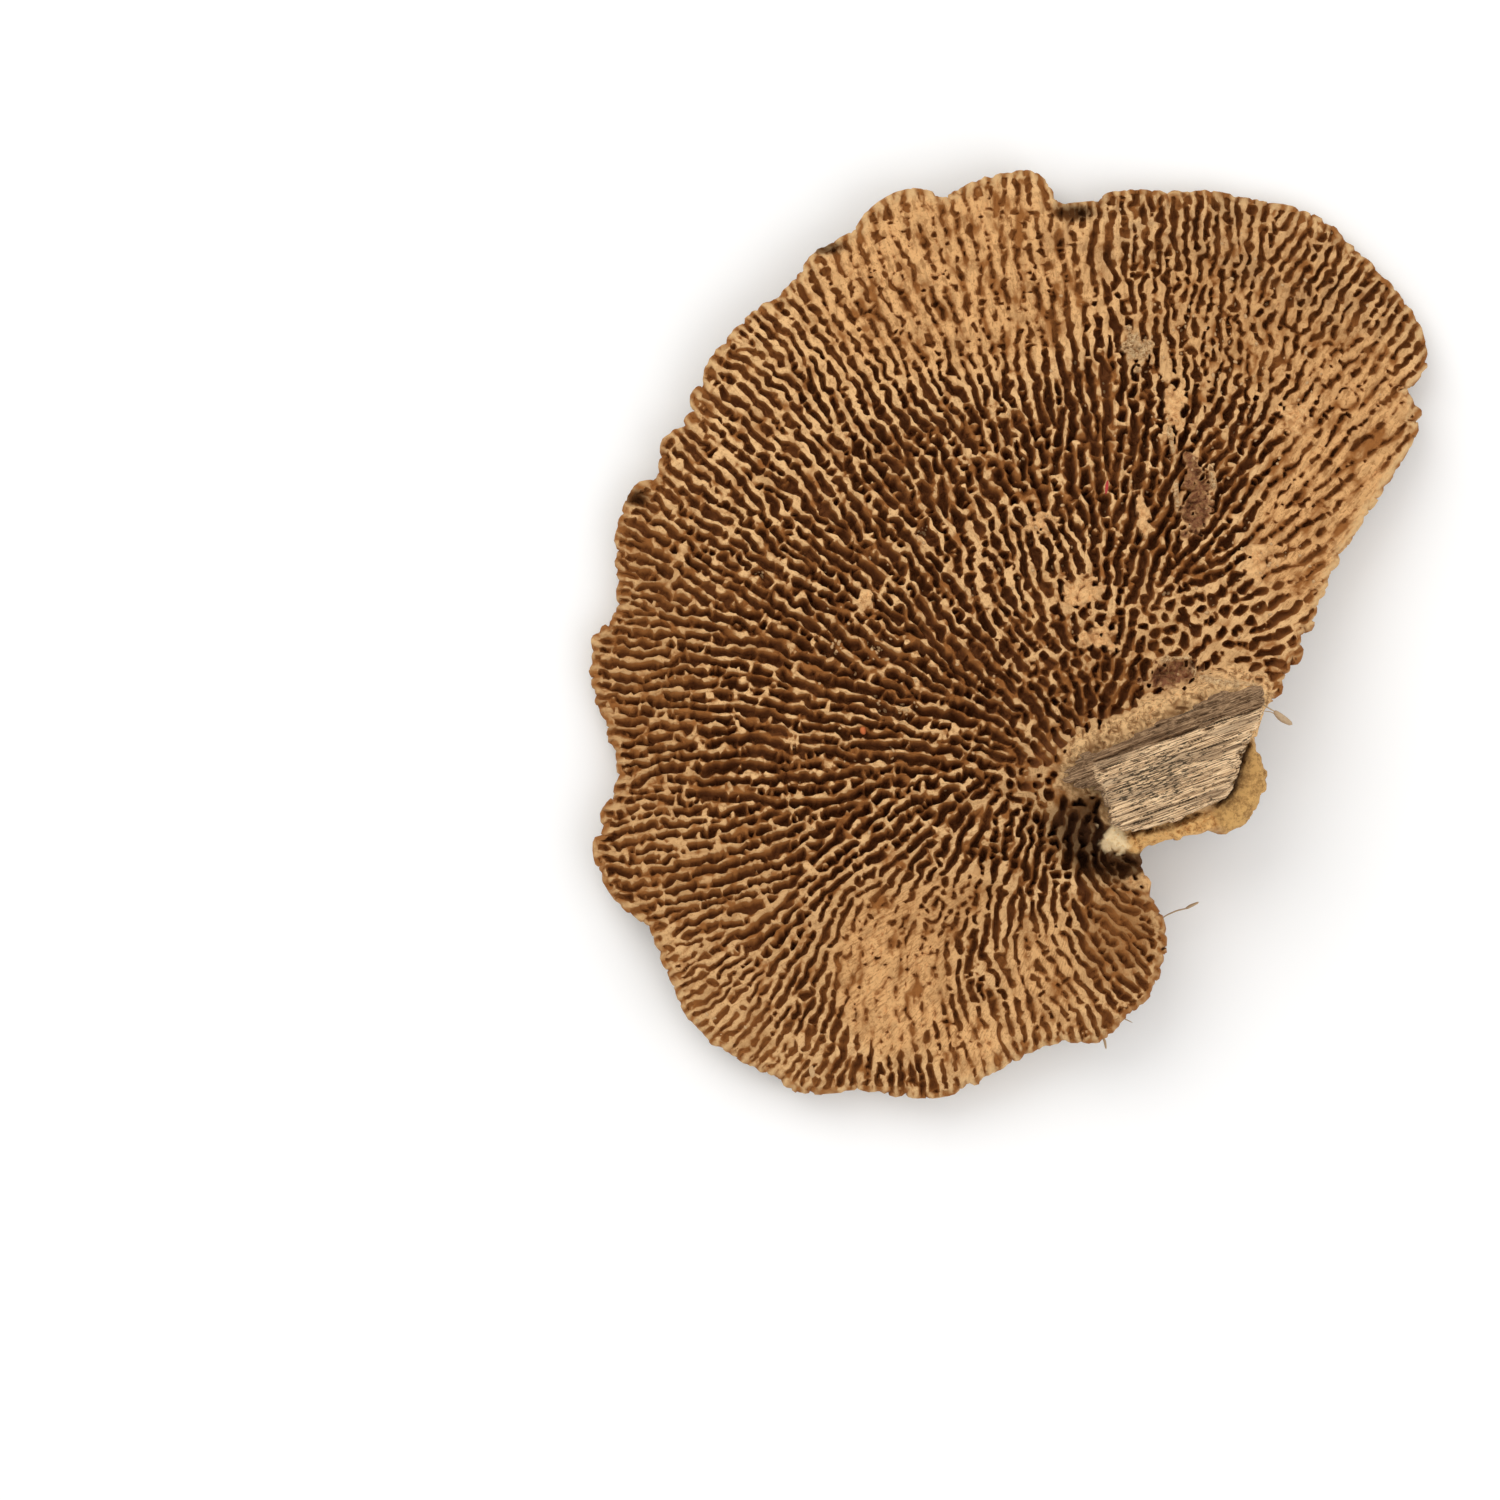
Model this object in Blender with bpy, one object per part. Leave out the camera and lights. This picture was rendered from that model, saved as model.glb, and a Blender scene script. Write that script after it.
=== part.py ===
"""A dried bracket fungus with a splinter of its host wood, lying on its sterile skin, gills up.

+Z is up, +X is to the right and +Y is away, as the gill side is seen from above. The origin is under the
middle of the outline, on the surface that the fungus lies on. Lengths in this file are in millimetres until
a point is handed to Blender.
"""

import math
import random

import bmesh
import bpy
import numpy as np
from mathutils import Vector, geometry, noise

MM = 0.001
SEED = 11

# The hub is the point of attachment, from which gills, growth zones and thickness are all measured.
HUB = Vector((18.3, -31.2))

# Thickness of the flesh and height of the boss that carries the wood.
MARGIN_THICKNESS = 5.5
HUB_THICKNESS = 22.0
TAPER_LENGTH = 55.0
TAPER_POWER = 1.3
BOSS_TOP = 29.5
BOSS_FLANK = 4.0
BOSS_SETBACK = 2.4

# The margin lifts off the surface between the three lobes that touch it.
MARGIN_LIFT = 7.0
LOBES_DOWN_DEG = (68.0, 166.0, 238.0)
LOBE_SPREAD_DEG = 28.0
RIM_SETBACK = 1.2
RIM_DROP = 1.0
RIM_ROUNDING_ROWS = 4
WAIST_SHARE = 0.45
LIP_SETBACK = 1.6
SWELL = 1.0
SWELL_LENGTH = 38.0

# Gills are troughs that fork where they get too wide and end at random lengths.
FORK_WIDTH = 3.9
GILL_LENGTHS = (5.5, 11.0)
GILL_END_STEP = 1.6
SHORTEST_REACH = 9.0
GILL_DEPTHS = (4.6, 1.6)
GILL_END_SLOPE = 0.2
MAZE_WANDER = 0.55

# Growth zones of the skin: where each ledge stands, as a share of the way to the margin.
ZONE_LEDGES = (0.90, 0.76, 0.62, 0.48)
ZONE_WIDTH = 0.05
ZONE_DEPTH = 1.5
ZONE_FADE = (20.0, 70.0)
FLAT_SHARE = 0.34

# The wood splinter lies on the boss, split along its grain.
WOOD_GAP = 0.3
WOOD_THICKNESS = 5.2
GRAIN_DEG = 21.0
GRAIN_PITCH = 1.5
GRAIN_STRIPS = 16
GRAIN_RELIEF = 1.3
GRAIN_BREAKS = 8
GRAIN_BREAK_PITCH = 4.6
GRAIN_SWELL_LENGTH = 9.0
STRIP_STRANGENESS = 3.7

# The outline of the cap, clockwise from its leftmost lobe.
OUTLINE = (
    (-84.5, -7.2), (-83.1, 0.4), (-78.3, 4.8), (-79.1, 16.8), (-77.3, 24.8), (-74.5, 30.2), (-69.1, 32.0),
    (-70.7, 36.4), (-68.1, 41.8), (-63.7, 43.0), (-64.1, 46.8), (-61.3, 51.2), (-58.7, 56.8), (-49.3, 66.2),
    (-42.9, 70.2), (-40.7, 75.6), (-31.3, 80.4), (-28.1, 84.8), (-20.3, 89.2), (-10.7, 88.2), (-6.7, 91.2),
    (1.3, 93.2), (7.3, 91.8), (10.3, 87.0), (17.3, 86.8), (22.3, 89.4), (30.9, 88.8), (39.3, 89.2),
    (51.3, 87.0), (60.3, 85.0), (67.3, 80.6), (72.3, 75.6), (78.7, 68.4), (82.3, 63.8), (84.3, 52.8),
    (80.3, 48.8), (83.1, 43.2), (75.3, 29.0), (67.7, 17.6), (62.5, 5.8), (58.7, -3.2), (55.7, -10.6),
    (49.7, -16.6), (48.3, -21.6), (51.7, -27.6), (49.7, -33.8), (45.3, -39.2), (35.7, -40.6), (26.3, -43.2),
    (29.7, -53.2), (31.3, -63.2), (27.3, -73.8), (18.3, -81.6), (10.3, -81.6), (1.7, -85.6), (-5.1, -90.2),
    (-17.1, -93.2), (-30.3, -91.6), (-41.7, -92.2), (-48.3, -88.6), (-59.1, -82.6), (-64.7, -75.8),
    (-67.7, -68.6), (-73.3, -58.6), (-79.1, -52.6), (-83.1, -44.2), (-81.3, -35.2), (-78.3, -30.6),
    (-80.1, -23.2), (-81.7, -16.6),
)

# The edge of the boss and the outline of the wood on it, clockwise from the left.
BOSS_EDGE = (
    (6.3, -31.2), (8.3, -25.6), (13.3, -21.6), (22.3, -18.2), (33.3, -13.2), (43.3, -8.4), (51.3, -9.2),
    (50.5, -18.2), (47.5, -27.2), (44.7, -34.2), (36.3, -38.6), (24.3, -41.2), (17.9, -39.6), (12.3, -36.2),
)
WOOD_OUTLINE = (
    (9.7, -28.8), (12.3, -26.4), (14.3, -24.0), (18.9, -22.8), (24.3, -20.2), (29.5, -17.4), (34.5, -15.8),
    (39.5, -12.4), (45.5, -10.4), (49.7, -10.8), (50.3, -12.8), (49.5, -17.2), (46.5, -22.4), (44.1, -30.4),
    (42.5, -32.6), (34.5, -36.6), (29.5, -38.4), (22.9, -39.4), (19.5, -37.4), (18.9, -34.4), (18.0, -31.2),
    (12.9, -30.4),
)

# The cap's surface is a net of columns, from the hub outwards, and rows, from the boss round to the skin.
COLUMNS = 160
FLANK_SPAN = 8
GILL_ROWS = 36
EDGE_ROW, FOOT_ROW = 0, 1
RIM_ROW = FOOT_ROW + GILL_ROWS
WAIST_ROW = RIM_ROW + 1
LIP_ROW = WAIST_ROW + 1

CAP_COLOUR = (0.58, 0.34, 0.15, 1.0)
WOOD_COLOUR = (0.36, 0.31, 0.25, 1.0)


def clear_scene():
    for item in list(bpy.data.objects):
        bpy.data.objects.remove(item, do_unlink=True)


def material(name, colour, roughness):
    made = bpy.data.materials.new(name)
    made.use_nodes = True
    shader = made.node_tree.nodes["Principled BSDF"]
    shader.inputs["Base Color"].default_value = colour
    shader.inputs["Roughness"].default_value = roughness
    shader.inputs["Metallic"].default_value = 0.0
    return made


def smooth_loop(points, count):
    """Evenly spaced points along a smooth closed curve through the given ones."""
    knots = [Vector(point).to_3d() for point in points]
    curve = []
    for i, start in enumerate(knots):
        before, end, after = knots[i - 1], knots[(i + 1) % len(knots)], knots[(i + 2) % len(knots)]
        leave = start + (end - before) / 6
        arrive = end - (after - start) / 6
        curve += geometry.interpolate_bezier(start, leave, arrive, end, 9)[:-1]
    x = np.array([point.x for point in curve + curve[:1]])
    y = np.array([point.y for point in curve + curve[:1]])
    along = np.concatenate([[0.0], np.cumsum(np.hypot(np.diff(x), np.diff(y)))])
    marks = np.linspace(0.0, along[-1], count, endpoint=False)
    return [Vector(pair) for pair in zip(np.interp(marks, along, x), np.interp(marks, along, y))]


def ease(low, high, value):
    """0 below low, 1 above high, and a smooth rise between them."""
    share = min(max((value - low) / (high - low), 0.0), 1.0)
    return share * share * (3 - 2 * share)


class CapSurface:
    """Where each point of the cap's net lies."""

    def __init__(self):
        self.margin = smooth_loop(OUTLINE, COLUMNS)
        arms = [Vector(point) - HUB for point in BOSS_EDGE]
        order = sorted(arms, key=lambda arm: math.atan2(arm.y, arm.x))
        self.edge_angles = [math.atan2(arm.y, arm.x) for arm in order]
        self.edge_reaches = [arm.length for arm in order]

    def angle(self, column):
        arm = self.margin[column] - HUB
        return math.atan2(arm.y, arm.x)

    def reach(self, column):
        """The distance from the hub to the margin."""
        return (self.margin[column] - HUB).length

    def edge_reach(self, column):
        edge = np.interp(self.angle(column), self.edge_angles, self.edge_reaches, period=2 * math.pi)
        return min(float(edge), self.reach(column) - BOSS_SETBACK)

    def foot_reach(self, column):
        return min(self.edge_reach(column) + BOSS_FLANK, self.reach(column) - RIM_SETBACK)

    def outward(self, column, distance):
        """The plan point this far from the hub, in the column's direction."""
        return HUB + (self.margin[column] - HUB).normalized() * distance

    def lift(self, column, share):
        """How high the skin stands, this share of the way to the margin."""
        here = math.degrees(self.angle(column))
        turns = [abs((here - lobe + 180) % 360 - 180) for lobe in LOBES_DOWN_DEG]
        held_down = math.exp(-((min(turns) / LOBE_SPREAD_DEG) ** 2))
        return MARGIN_LIFT * (1 - held_down) * ease(FLAT_SHARE, 1.0, share)

    def thickness(self, column, distance):
        past_foot = max(distance - self.foot_reach(column), 0.0)
        fade = math.exp(-((past_foot / TAPER_LENGTH) ** TAPER_POWER))
        return MARGIN_THICKNESS + (HUB_THICKNESS - MARGIN_THICKNESS) * fade

    def gill_side(self, column, distance):
        """Height of the gills' edges at this distance from the hub."""
        plan = self.outward(column, distance)
        swell = SWELL * noise.noise(Vector((plan.x, plan.y, SEED)) / SWELL_LENGTH)
        share = distance / self.reach(column)
        return self.lift(column, share) + self.thickness(column, distance) + swell

    def row_length(self, column):
        """How far apart the rows of the gill side lie."""
        return (self.reach(column) - RIM_SETBACK - self.foot_reach(column)) / GILL_ROWS

    def row_reach(self, column, row):
        """Distance from the hub of a row on the gill side."""
        return self.foot_reach(column) + self.row_length(column) * (row - FOOT_ROW)

    def recess(self, column, row):
        """Depth of the skin's growth zones, which fade where the margin is near the hub."""
        return SKIN_RECESSES[row - LIP_ROW] * ease(*ZONE_FADE, self.reach(column))

    def point(self, column, row):
        """The net's point, in millimetres."""
        reach = self.reach(column)
        if row == EDGE_ROW:
            return self.outward(column, self.edge_reach(column)).to_3d() + Vector((0, 0, BOSS_TOP))
        if row <= RIM_ROW:
            distance = self.row_reach(column, row)
            height = self.gill_side(column, distance)
            drop = RIM_DROP * ease(RIM_ROW - RIM_ROUNDING_ROWS, RIM_ROW, row)
            return self.outward(column, distance).to_3d() + Vector((0, 0, height - drop))
        if row == WAIST_ROW:
            height = self.lift(column, 1.0) + WAIST_SHARE * self.thickness(column, reach)
            return self.margin[column].to_3d() + Vector((0, 0, height))
        share = SKIN_SHARES[row - LIP_ROW]
        height = self.lift(column, share) + self.recess(column, row)
        return self.outward(column, share * (reach - LIP_SETBACK)).to_3d() + Vector((0, 0, height))

    def wandering_point(self, column, row):
        """The net's point, moved a little where it is a corner of gills, as in a maze."""
        place = self.point(column, row)
        if FOOT_ROW < row < RIM_ROW:
            stray = noise.cell_vector(Vector((column + 0.5, row + 0.5, SEED)))
            place += MAZE_WANDER * Vector((stray.x, stray.y, 0.0))
        return place

    def column_width(self, first, last, row):
        """Width across a column, square to its length."""
        across = self.point(last, row) - self.point(first, row)
        radial = (self.margin[first] - HUB).normalized()
        return abs(across.x * radial.y - across.y * radial.x)


def skin_rows():
    """Shares of the way to the margin for the skin's rows, with how far each is recessed."""
    shares, recesses = [1.0], [0.0]
    for ledge in ZONE_LEDGES:
        shares += [ledge, ledge - ZONE_WIDTH]
        recesses += [0.0, ZONE_DEPTH]
    return shares + [FLAT_SHARE - 0.1], recesses + [0.0]


SKIN_SHARES, SKIN_RECESSES = skin_rows()
LAST_ROW = LIP_ROW + len(SKIN_SHARES) - 1


def gill_cells(surface):
    """Gill troughs and plain stretches as (first column, last column, first row, last row, is a trough)."""
    dice = random.Random(SEED)
    cells = []
    growing = [(first, first + FLANK_SPAN, FOOT_ROW) for first in range(0, COLUMNS, FLANK_SPAN)]
    while growing:
        first, last, row = growing.pop()
        if row == RIM_ROW:
            continue
        middle = (first + last) // 2
        row_length = surface.row_length(middle % COLUMNS)
        is_plain = row_length * GILL_ROWS < SHORTEST_REACH
        width = surface.column_width(first, last % COLUMNS, row)
        if last - first > 1 and (is_plain or width > FORK_WIDTH):
            growing += [(first, middle, row), (middle, last, row)]
            continue
        if is_plain:
            cells.append((first, last, row, RIM_ROW, False))
            continue
        step = max(1, round(GILL_END_STEP / row_length))
        length = max(step, round(dice.uniform(*GILL_LENGTHS) / row_length / step) * step)
        end = row + length
        if end + length // 2 > RIM_ROW:
            end = RIM_ROW
        cells.append((first, last, row, end, True))
        growing.append((first, last, end))
    return cells


def plain_cells():
    """The boss's flank, the rim and the skin."""
    cells = [(c, c + FLANK_SPAN, EDGE_ROW, FOOT_ROW, False) for c in range(0, COLUMNS, FLANK_SPAN)]
    cells += [(c, c + 1, RIM_ROW, WAIST_ROW, False) for c in range(COLUMNS)]
    cells += [(c, c + 2, WAIST_ROW, LIP_ROW, False) for c in range(0, COLUMNS, 2)]
    for row in range(LIP_ROW, LAST_ROW):
        span = 2 if row == LIP_ROW else 4
        cells += [(c, c + span, row, row + 1, False) for c in range(0, COLUMNS, span)]
    return cells


def boundary(cell, used):
    """The used net points round a cell in four runs: inner end, one side, outer end, other side."""
    first, last, low, high, _ = cell
    inner = [(c % COLUMNS, low) for c in range(first, last + 1) if (c % COLUMNS, low) in used]
    outer = [(c % COLUMNS, high) for c in range(last, first - 1, -1) if (c % COLUMNS, high) in used]
    far_side = [(last % COLUMNS, r) for r in range(low, high + 1) if (last % COLUMNS, r) in used]
    near_side = [(first, r) for r in range(high, low - 1, -1) if (first, r) in used]
    return inner, far_side, outer, near_side


def trough(mesh, runs, corners, depth):
    """A gill between its edges: a V with a sunk line, from near one end to near the other."""
    inner, far_side, outer, near_side = [[corners[key] for key in run] for run in runs]
    start = (inner[0].co + inner[-1].co) / 2
    end = (outer[0].co + outer[-1].co) / 2
    drop = Vector((0, 0, -depth * MM))
    floor_in = mesh.verts.new(start.lerp(end, GILL_END_SLOPE) + drop)
    floor_out = mesh.verts.new(end.lerp(start, GILL_END_SLOPE) + drop)
    half_far = len(far_side) // 2
    half_near = len(near_side) // 2
    inner_edges = near_side[half_near:-1] + inner[:-1] + far_side[: half_far + 1]
    outer_edges = far_side[half_far:-1] + outer[:-1] + near_side[: half_near + 1]
    for edges, floor in ((inner_edges, floor_in), (outer_edges, floor_out)):
        for a, b in zip(edges, edges[1:]):
            mesh.faces.new((a, b, floor))
    mesh.faces.new((far_side[half_far], floor_out, floor_in))
    mesh.faces.new((near_side[half_near], floor_in, floor_out))


def build_cap():
    """The whole fungus: one grown piece, with gills, boss, rim and zoned skin."""
    surface = CapSurface()
    cells = gill_cells(surface) + plain_cells()
    used = set()
    for first, last, low, high, _ in cells:
        used |= {(first, low), (last % COLUMNS, low), (first, high), (last % COLUMNS, high)}
    mesh = bmesh.new()
    corners = {key: mesh.verts.new(surface.wandering_point(*key) * MM) for key in sorted(used)}
    for cell in cells:
        runs = boundary(cell, used)
        if cell[4]:
            share = (cell[2] + cell[3] - 2 * FOOT_ROW) / (2 * GILL_ROWS)
            depth = GILL_DEPTHS[0] + (GILL_DEPTHS[1] - GILL_DEPTHS[0]) * share
            trough(mesh, runs, corners, depth)
        else:
            loop = [key for run in runs for key in run[:-1]]
            mesh.faces.new([corners[key] for key in loop])
    for row in (EDGE_ROW, LAST_ROW):
        mesh.faces.new([corners[key] for key in sorted(used) if key[1] == row])
    bmesh.ops.recalc_face_normals(mesh, faces=mesh.faces)
    return finished("cap", mesh, material("fungus flesh", CAP_COLOUR, 0.85))


def build_wood():
    """The splinter: its outline split into strips along the grain, at uneven heights."""
    mesh = bmesh.new()
    base = BOSS_TOP + WOOD_GAP
    outline = [mesh.verts.new(Vector((x, y, base)) * MM) for x, y in WOOD_OUTLINE]
    top = mesh.faces.new(outline)
    walls = bmesh.ops.extrude_face_region(mesh, geom=[top])["geom"]
    raised = [item for item in walls if isinstance(item, bmesh.types.BMVert)]
    bmesh.ops.translate(mesh, verts=raised, vec=(0, 0, WOOD_THICKNESS * MM))
    grain = Vector((math.cos(math.radians(GRAIN_DEG)), math.sin(math.radians(GRAIN_DEG)), 0))
    across = Vector((-grain.y, grain.x, 0))
    middle = sum((vert.co for vert in raised), Vector()) / len(raised)
    ceiling = base + 0.5 * WOOD_THICKNESS

    def cut(normal, offset):
        upper = [face for face in mesh.faces if min(vert.co.z for vert in face.verts) > ceiling * MM]
        split = {item for face in upper for item in [face, *face.edges, *face.verts]}
        place = middle + normal * offset * MM
        bmesh.ops.bisect_plane(mesh, geom=list(split), plane_co=place, plane_no=normal)

    for strip in range(GRAIN_STRIPS + 1):
        cut(across, (strip - GRAIN_STRIPS / 2) * GRAIN_PITCH)
    for crossing in range(GRAIN_BREAKS + 1):
        cut(grain, (crossing - GRAIN_BREAKS / 2) * GRAIN_BREAK_PITCH)
    for vert in mesh.verts:
        if vert.co.z < ceiling * MM:
            continue
        place = (vert.co - middle) / MM
        strip = round(place.dot(across) / GRAIN_PITCH)
        along = place.dot(grain) / GRAIN_SWELL_LENGTH
        unevenness = noise.noise(Vector((strip * STRIP_STRANGENESS, along, SEED)))
        vert.co.z += GRAIN_RELIEF * unevenness * MM * (1 if strip % 2 else -1)
    bmesh.ops.recalc_face_normals(mesh, faces=mesh.faces)
    return finished("wood_remnant", mesh, material("weathered wood", WOOD_COLOUR, 0.9))


def finished(name, mesh, look):
    data = bpy.data.meshes.new(name)
    mesh.to_mesh(data)
    mesh.free()
    data.materials.append(look)
    return bpy.data.objects.new(name, data)


def main():
    clear_scene()
    group = bpy.data.collections.new("bracket_fungus")
    bpy.context.scene.collection.children.link(group)
    for piece in (build_cap(), build_wood()):
        group.objects.link(piece)


main()
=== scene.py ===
"""The looks of the dried bracket fungus: gills, rim and skin, its splinter of wood, and studio light.

Plan places and lengths are in millimetres until they are handed to Blender, in the frame of the solids:
+X right and +Y away as the gill side is seen from above, +Z up.
"""

import math
from typing import NamedTuple

import bpy
import numpy as np
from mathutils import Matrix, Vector
from mathutils import noise as space_noise
from mathutils.bvhtree import BVHTree


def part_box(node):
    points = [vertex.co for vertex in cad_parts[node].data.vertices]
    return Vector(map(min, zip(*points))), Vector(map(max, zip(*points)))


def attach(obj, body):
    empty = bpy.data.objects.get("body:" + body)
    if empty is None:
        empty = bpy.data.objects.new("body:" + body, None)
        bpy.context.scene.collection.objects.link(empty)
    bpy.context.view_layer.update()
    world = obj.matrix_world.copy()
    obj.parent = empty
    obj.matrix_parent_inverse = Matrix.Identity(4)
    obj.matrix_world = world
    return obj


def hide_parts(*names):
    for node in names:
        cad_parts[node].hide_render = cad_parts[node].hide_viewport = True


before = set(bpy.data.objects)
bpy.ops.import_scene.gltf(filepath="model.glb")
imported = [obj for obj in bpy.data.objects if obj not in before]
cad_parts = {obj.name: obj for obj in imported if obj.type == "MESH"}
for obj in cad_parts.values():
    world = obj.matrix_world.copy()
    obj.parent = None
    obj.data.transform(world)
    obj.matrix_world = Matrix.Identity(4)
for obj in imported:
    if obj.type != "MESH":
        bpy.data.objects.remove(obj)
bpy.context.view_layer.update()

MM = 0.001

# The fine grid over the plan, and the coarse one on which the solids are read.
STEP = 0.33
COARSE = 1
EDGE_ROOM = 6
CAP_TRIANGLES = 196000
WOOD_TRIANGLES = 60000
WOOD_STEP = 0.22
SPLIT_LIMITS = (0.15, 0.85)
OUTLINE_POINTS = 720

# The gills grow out from the place of attachment.
HUB = (19, -31.2)
ENVELOPE_REACH = 3
MAZE_ROUNDS = 9
MAZE_BINS = 12
MAZE_PITCHES = (1.7, 2.3, 3.1)
MAZE_STRETCHES = (1, 3)
MAZE_BAND = 0.3
MAZE_LOOSENESS = 1.3
MAZE_NOISE = 0.2
PORES_WITHIN = (4, 22)
PLAIN_SPOTS = 0.4
ROUND_SPOTS = 0.62
PEAK_REACH = 1.1
PEAK_EVENING = 0.8
EVENING = 4
SHARE_REACH = 5

# Gills from their edges to their floors: the maze counts millimetres from the walls' edges, roughly.
FLOOR_LEVEL = -0.62
EDGE_LEVEL = 0
BRIDGE_LENGTH = 1.2
BRIDGE_WIDTH = 0.6
BRIDGE_RARITY = 1.45
RUNGS = 0.45
BRIDGE_RISE = 0.05
BRIDGE_SWING = 0.12
BRIDGE_SHARE = 0.03
CUT_LENGTH = 1.1
CUT_WIDTH = 0.32
CUT_RARITY = 1.45
GAP_SHAPE = 1.2
WIDE_GAP = 0.35
NARROW_GAP = 0.5
STEEP_CELLS = 0.5
TOP_ROOM = 1.2
GAP_DEPTHS = ((0.8, 3, 12, 45), (1.2, 2.3, 3.2, 4))
LEAST_THICKNESS = 2.2
BAND_START = (0.6, 1.3)
RIM_CLOSES = (1.25, 0.95)

# The rim, where the gill side turns round to the skin.
RIM_INSET = 0.9
SIDE_ROWS = 14
SIDE_ROUNDNESS = 0.75
WAIST_SHARE = 0.45
SKIN_ZONES = 9
SKIN_REACH = 1.4
SHARP_ANGLE = math.radians(48)

# The splinter of wood, split along its grain.
GRAIN_DEG = 20
GRAIN_CENTRE = (30, -26)
WOOD_INSET = 0.3

# Small lumps on the gills: place, height over the gills, radii, turn and seed.
SEED = ((-29.1, -19.2), 0.5, (0.62, 0.95, 0.5), 12, 5)
RED_FLECK = ((19.7, 29.4), 0.1, (0.32, 1.5, 0.22), -8, 6)
WHITE_CHIP = ((-39.3, -87.6), 0.1, (0.55, 1.3, 0.25), 10, 7)
# Heaps of grit: middle, reach and count.
GRIT_HEAPS = (
    ((-34.7, -2.2), 1, 9), ((-26.3, -2.8), 1.2, 16), ((-20.7, -14.7), 1.3, 9), ((-25.7, -14.2), 0.9, 7),
    ((-49.7, 11.8), 0.8, 6), ((-23.7, -23.2), 0.6, 4), ((-16.7, 20.8), 0.8, 8), ((26.3, 57.8), 1.6, 16),
    ((-41, -30), 0.8, 3), ((38, 60), 3, 10), ((46, 40), 3, 8), ((-60, -78), 3, 6),
    ((40, 56), 13, 110), ((10, 20), 12, 40), ((44, 12), 9, 50), ((-20, -10), 18, 30),
)
# Loose fibres that stick out at the edges: path and half thickness.
FIBRES = (
    (((30, -57.8, 7), (31.8, -56.4, 7.6), (34, -55.4, 8.2), (36.2, -54.9, 8.8), (38.3, -53.9, 9.2)), 0.16),
    (((35.6, -55.1, 8.6), (36.6, -54.5, 8.9), (38.4, -53.7, 9.2)), 0.34),
    (((18.6, -80, 5), (19.6, -81.6, 5.2), (19.9, -83.4, 5)), 0.28),
    (((21.4, -77, 5.6), (23.6, -77.2, 6.2), (25.2, -78, 6.4)), 0.12),
    (((49.2, -13.6, 31.5), (51.4, -15, 31), (53.2, -16, 30.4)), 0.14),
    (((49.6, -15.4, 31), (51.6, -15.6, 30.6), (53.2, -16.4, 30.2)), 0.1),
    (((52.2, -15.4, 30.6), (53.8, -16.8, 30.3), (56, -18.2, 30)), 0.75),
)


class Look(NamedTuple):
    """How the gills look somewhere."""

    walls: float          # the share of the plan that the walls' edges take
    pitch: float          # from wall to wall
    lean: float           # how far a gap's floor lies towards -Y, per millimetre of depth
    depth: float          # of the gaps, as a share of the usual
    stretch: float        # how much longer than wide the cells are, roughly
    brown: float = 0      # how brown the walls' edges are
    wander: float = 0.12  # how far the gills stray from their way, in radians
    wave: float = 1       # how much they wobble


PLAIN_LOOK = Look(0.17, 2.4, 0.22, 1, 2.6)

# Where the gills look different: centre, radii and turn of an ellipse, and the look in its middle.
REGIONS = (
    ((-75, -12), (13, 44), 0, Look(0.12, 2, 0.42, 0.9, 3, 0.35)),
    ((-44, 47), (31, 22), 50, Look(0.43, 2.3, 0.12, 0.8, 3)),
    ((-8, 72), (36, 26), 0, Look(0.64, 2.5, 0.04, 0.5, 3, 0, 0.1, 1)),
    ((4, 12), (22, 14), -20, Look(0.42, 2.4, 0.08, 0.7, 1.5, 0.05, 0.2)),
    ((50, 64), (32, 26), -20, Look(0.54, 2.2, 0, 0.6, 1.8, 0.25, 0.18, 1.45)),
    ((64, 30), (15, 34), -24, Look(0.69, 2.6, 0, 0.6, 3, 0.1, 0.07, 0.7)),
    ((69, 22), (4, 17), -21, Look(0.87, 2.8, 0, 0.45, 3, 0, 0.05, 0.4)),
    ((38, 0), (18, 12), 0, Look(0.35, 2.7, 0, 0.72, 1.2, 0.1, 0.25)),
    ((9, -8), (16, 12), 0, Look(0.22, 2.3, 0.05, 0.78, 1.4, 0.1, 0.2)),
    ((4, -31), (9, 8), 0, Look(0.15, 2.4, 0.05, 0.8, 1, 0.1, 0.2)),
    ((-58, -54), (26, 17), -20, Look(0.12, 2.3, 0.48, 0.9, 3, 0.35)),
    ((-54, -76), (24, 12), -45, Look(0.44, 1.8, 0.15, 0.42, 2.8, 0.2)),
    ((-24, -64), (20, 22), 0, Look(0.5, 2.1, 0.08, 0.45, 2.2, 0.3)),
    ((-22.5, -69.5), (11, 16), 0, Look(0.76, 1.8, 0, 0.32, 2.4, 0, 0.12)),
    ((-11, -54), (13, 7), 20, Look(0.56, 2, 0.05, 0.5, 1.4, 0.3)),
    ((-8, -82), (10, 10), 10, Look(0.58, 2.2, 0, 0.5, 3, 0, 0.05, 0.6)),
    ((7, -68), (13, 17), 0, Look(0.57, 2.1, 0, 0.5, 2, 0.1)),
    ((22, -60), (8, 10), 0, Look(0.2, 2.1, 0.35, 0.65, 2.6, 0.85)),
    ((15, -38.5), (7, 8), 0, Look(0.1, 2.3, 0.1, 1, 9, 0.3)),
    ((22, -45.5), (8, 4), 0, Look(0.1, 2, 0.1, 1, 9, 0.4)),
)

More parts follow.
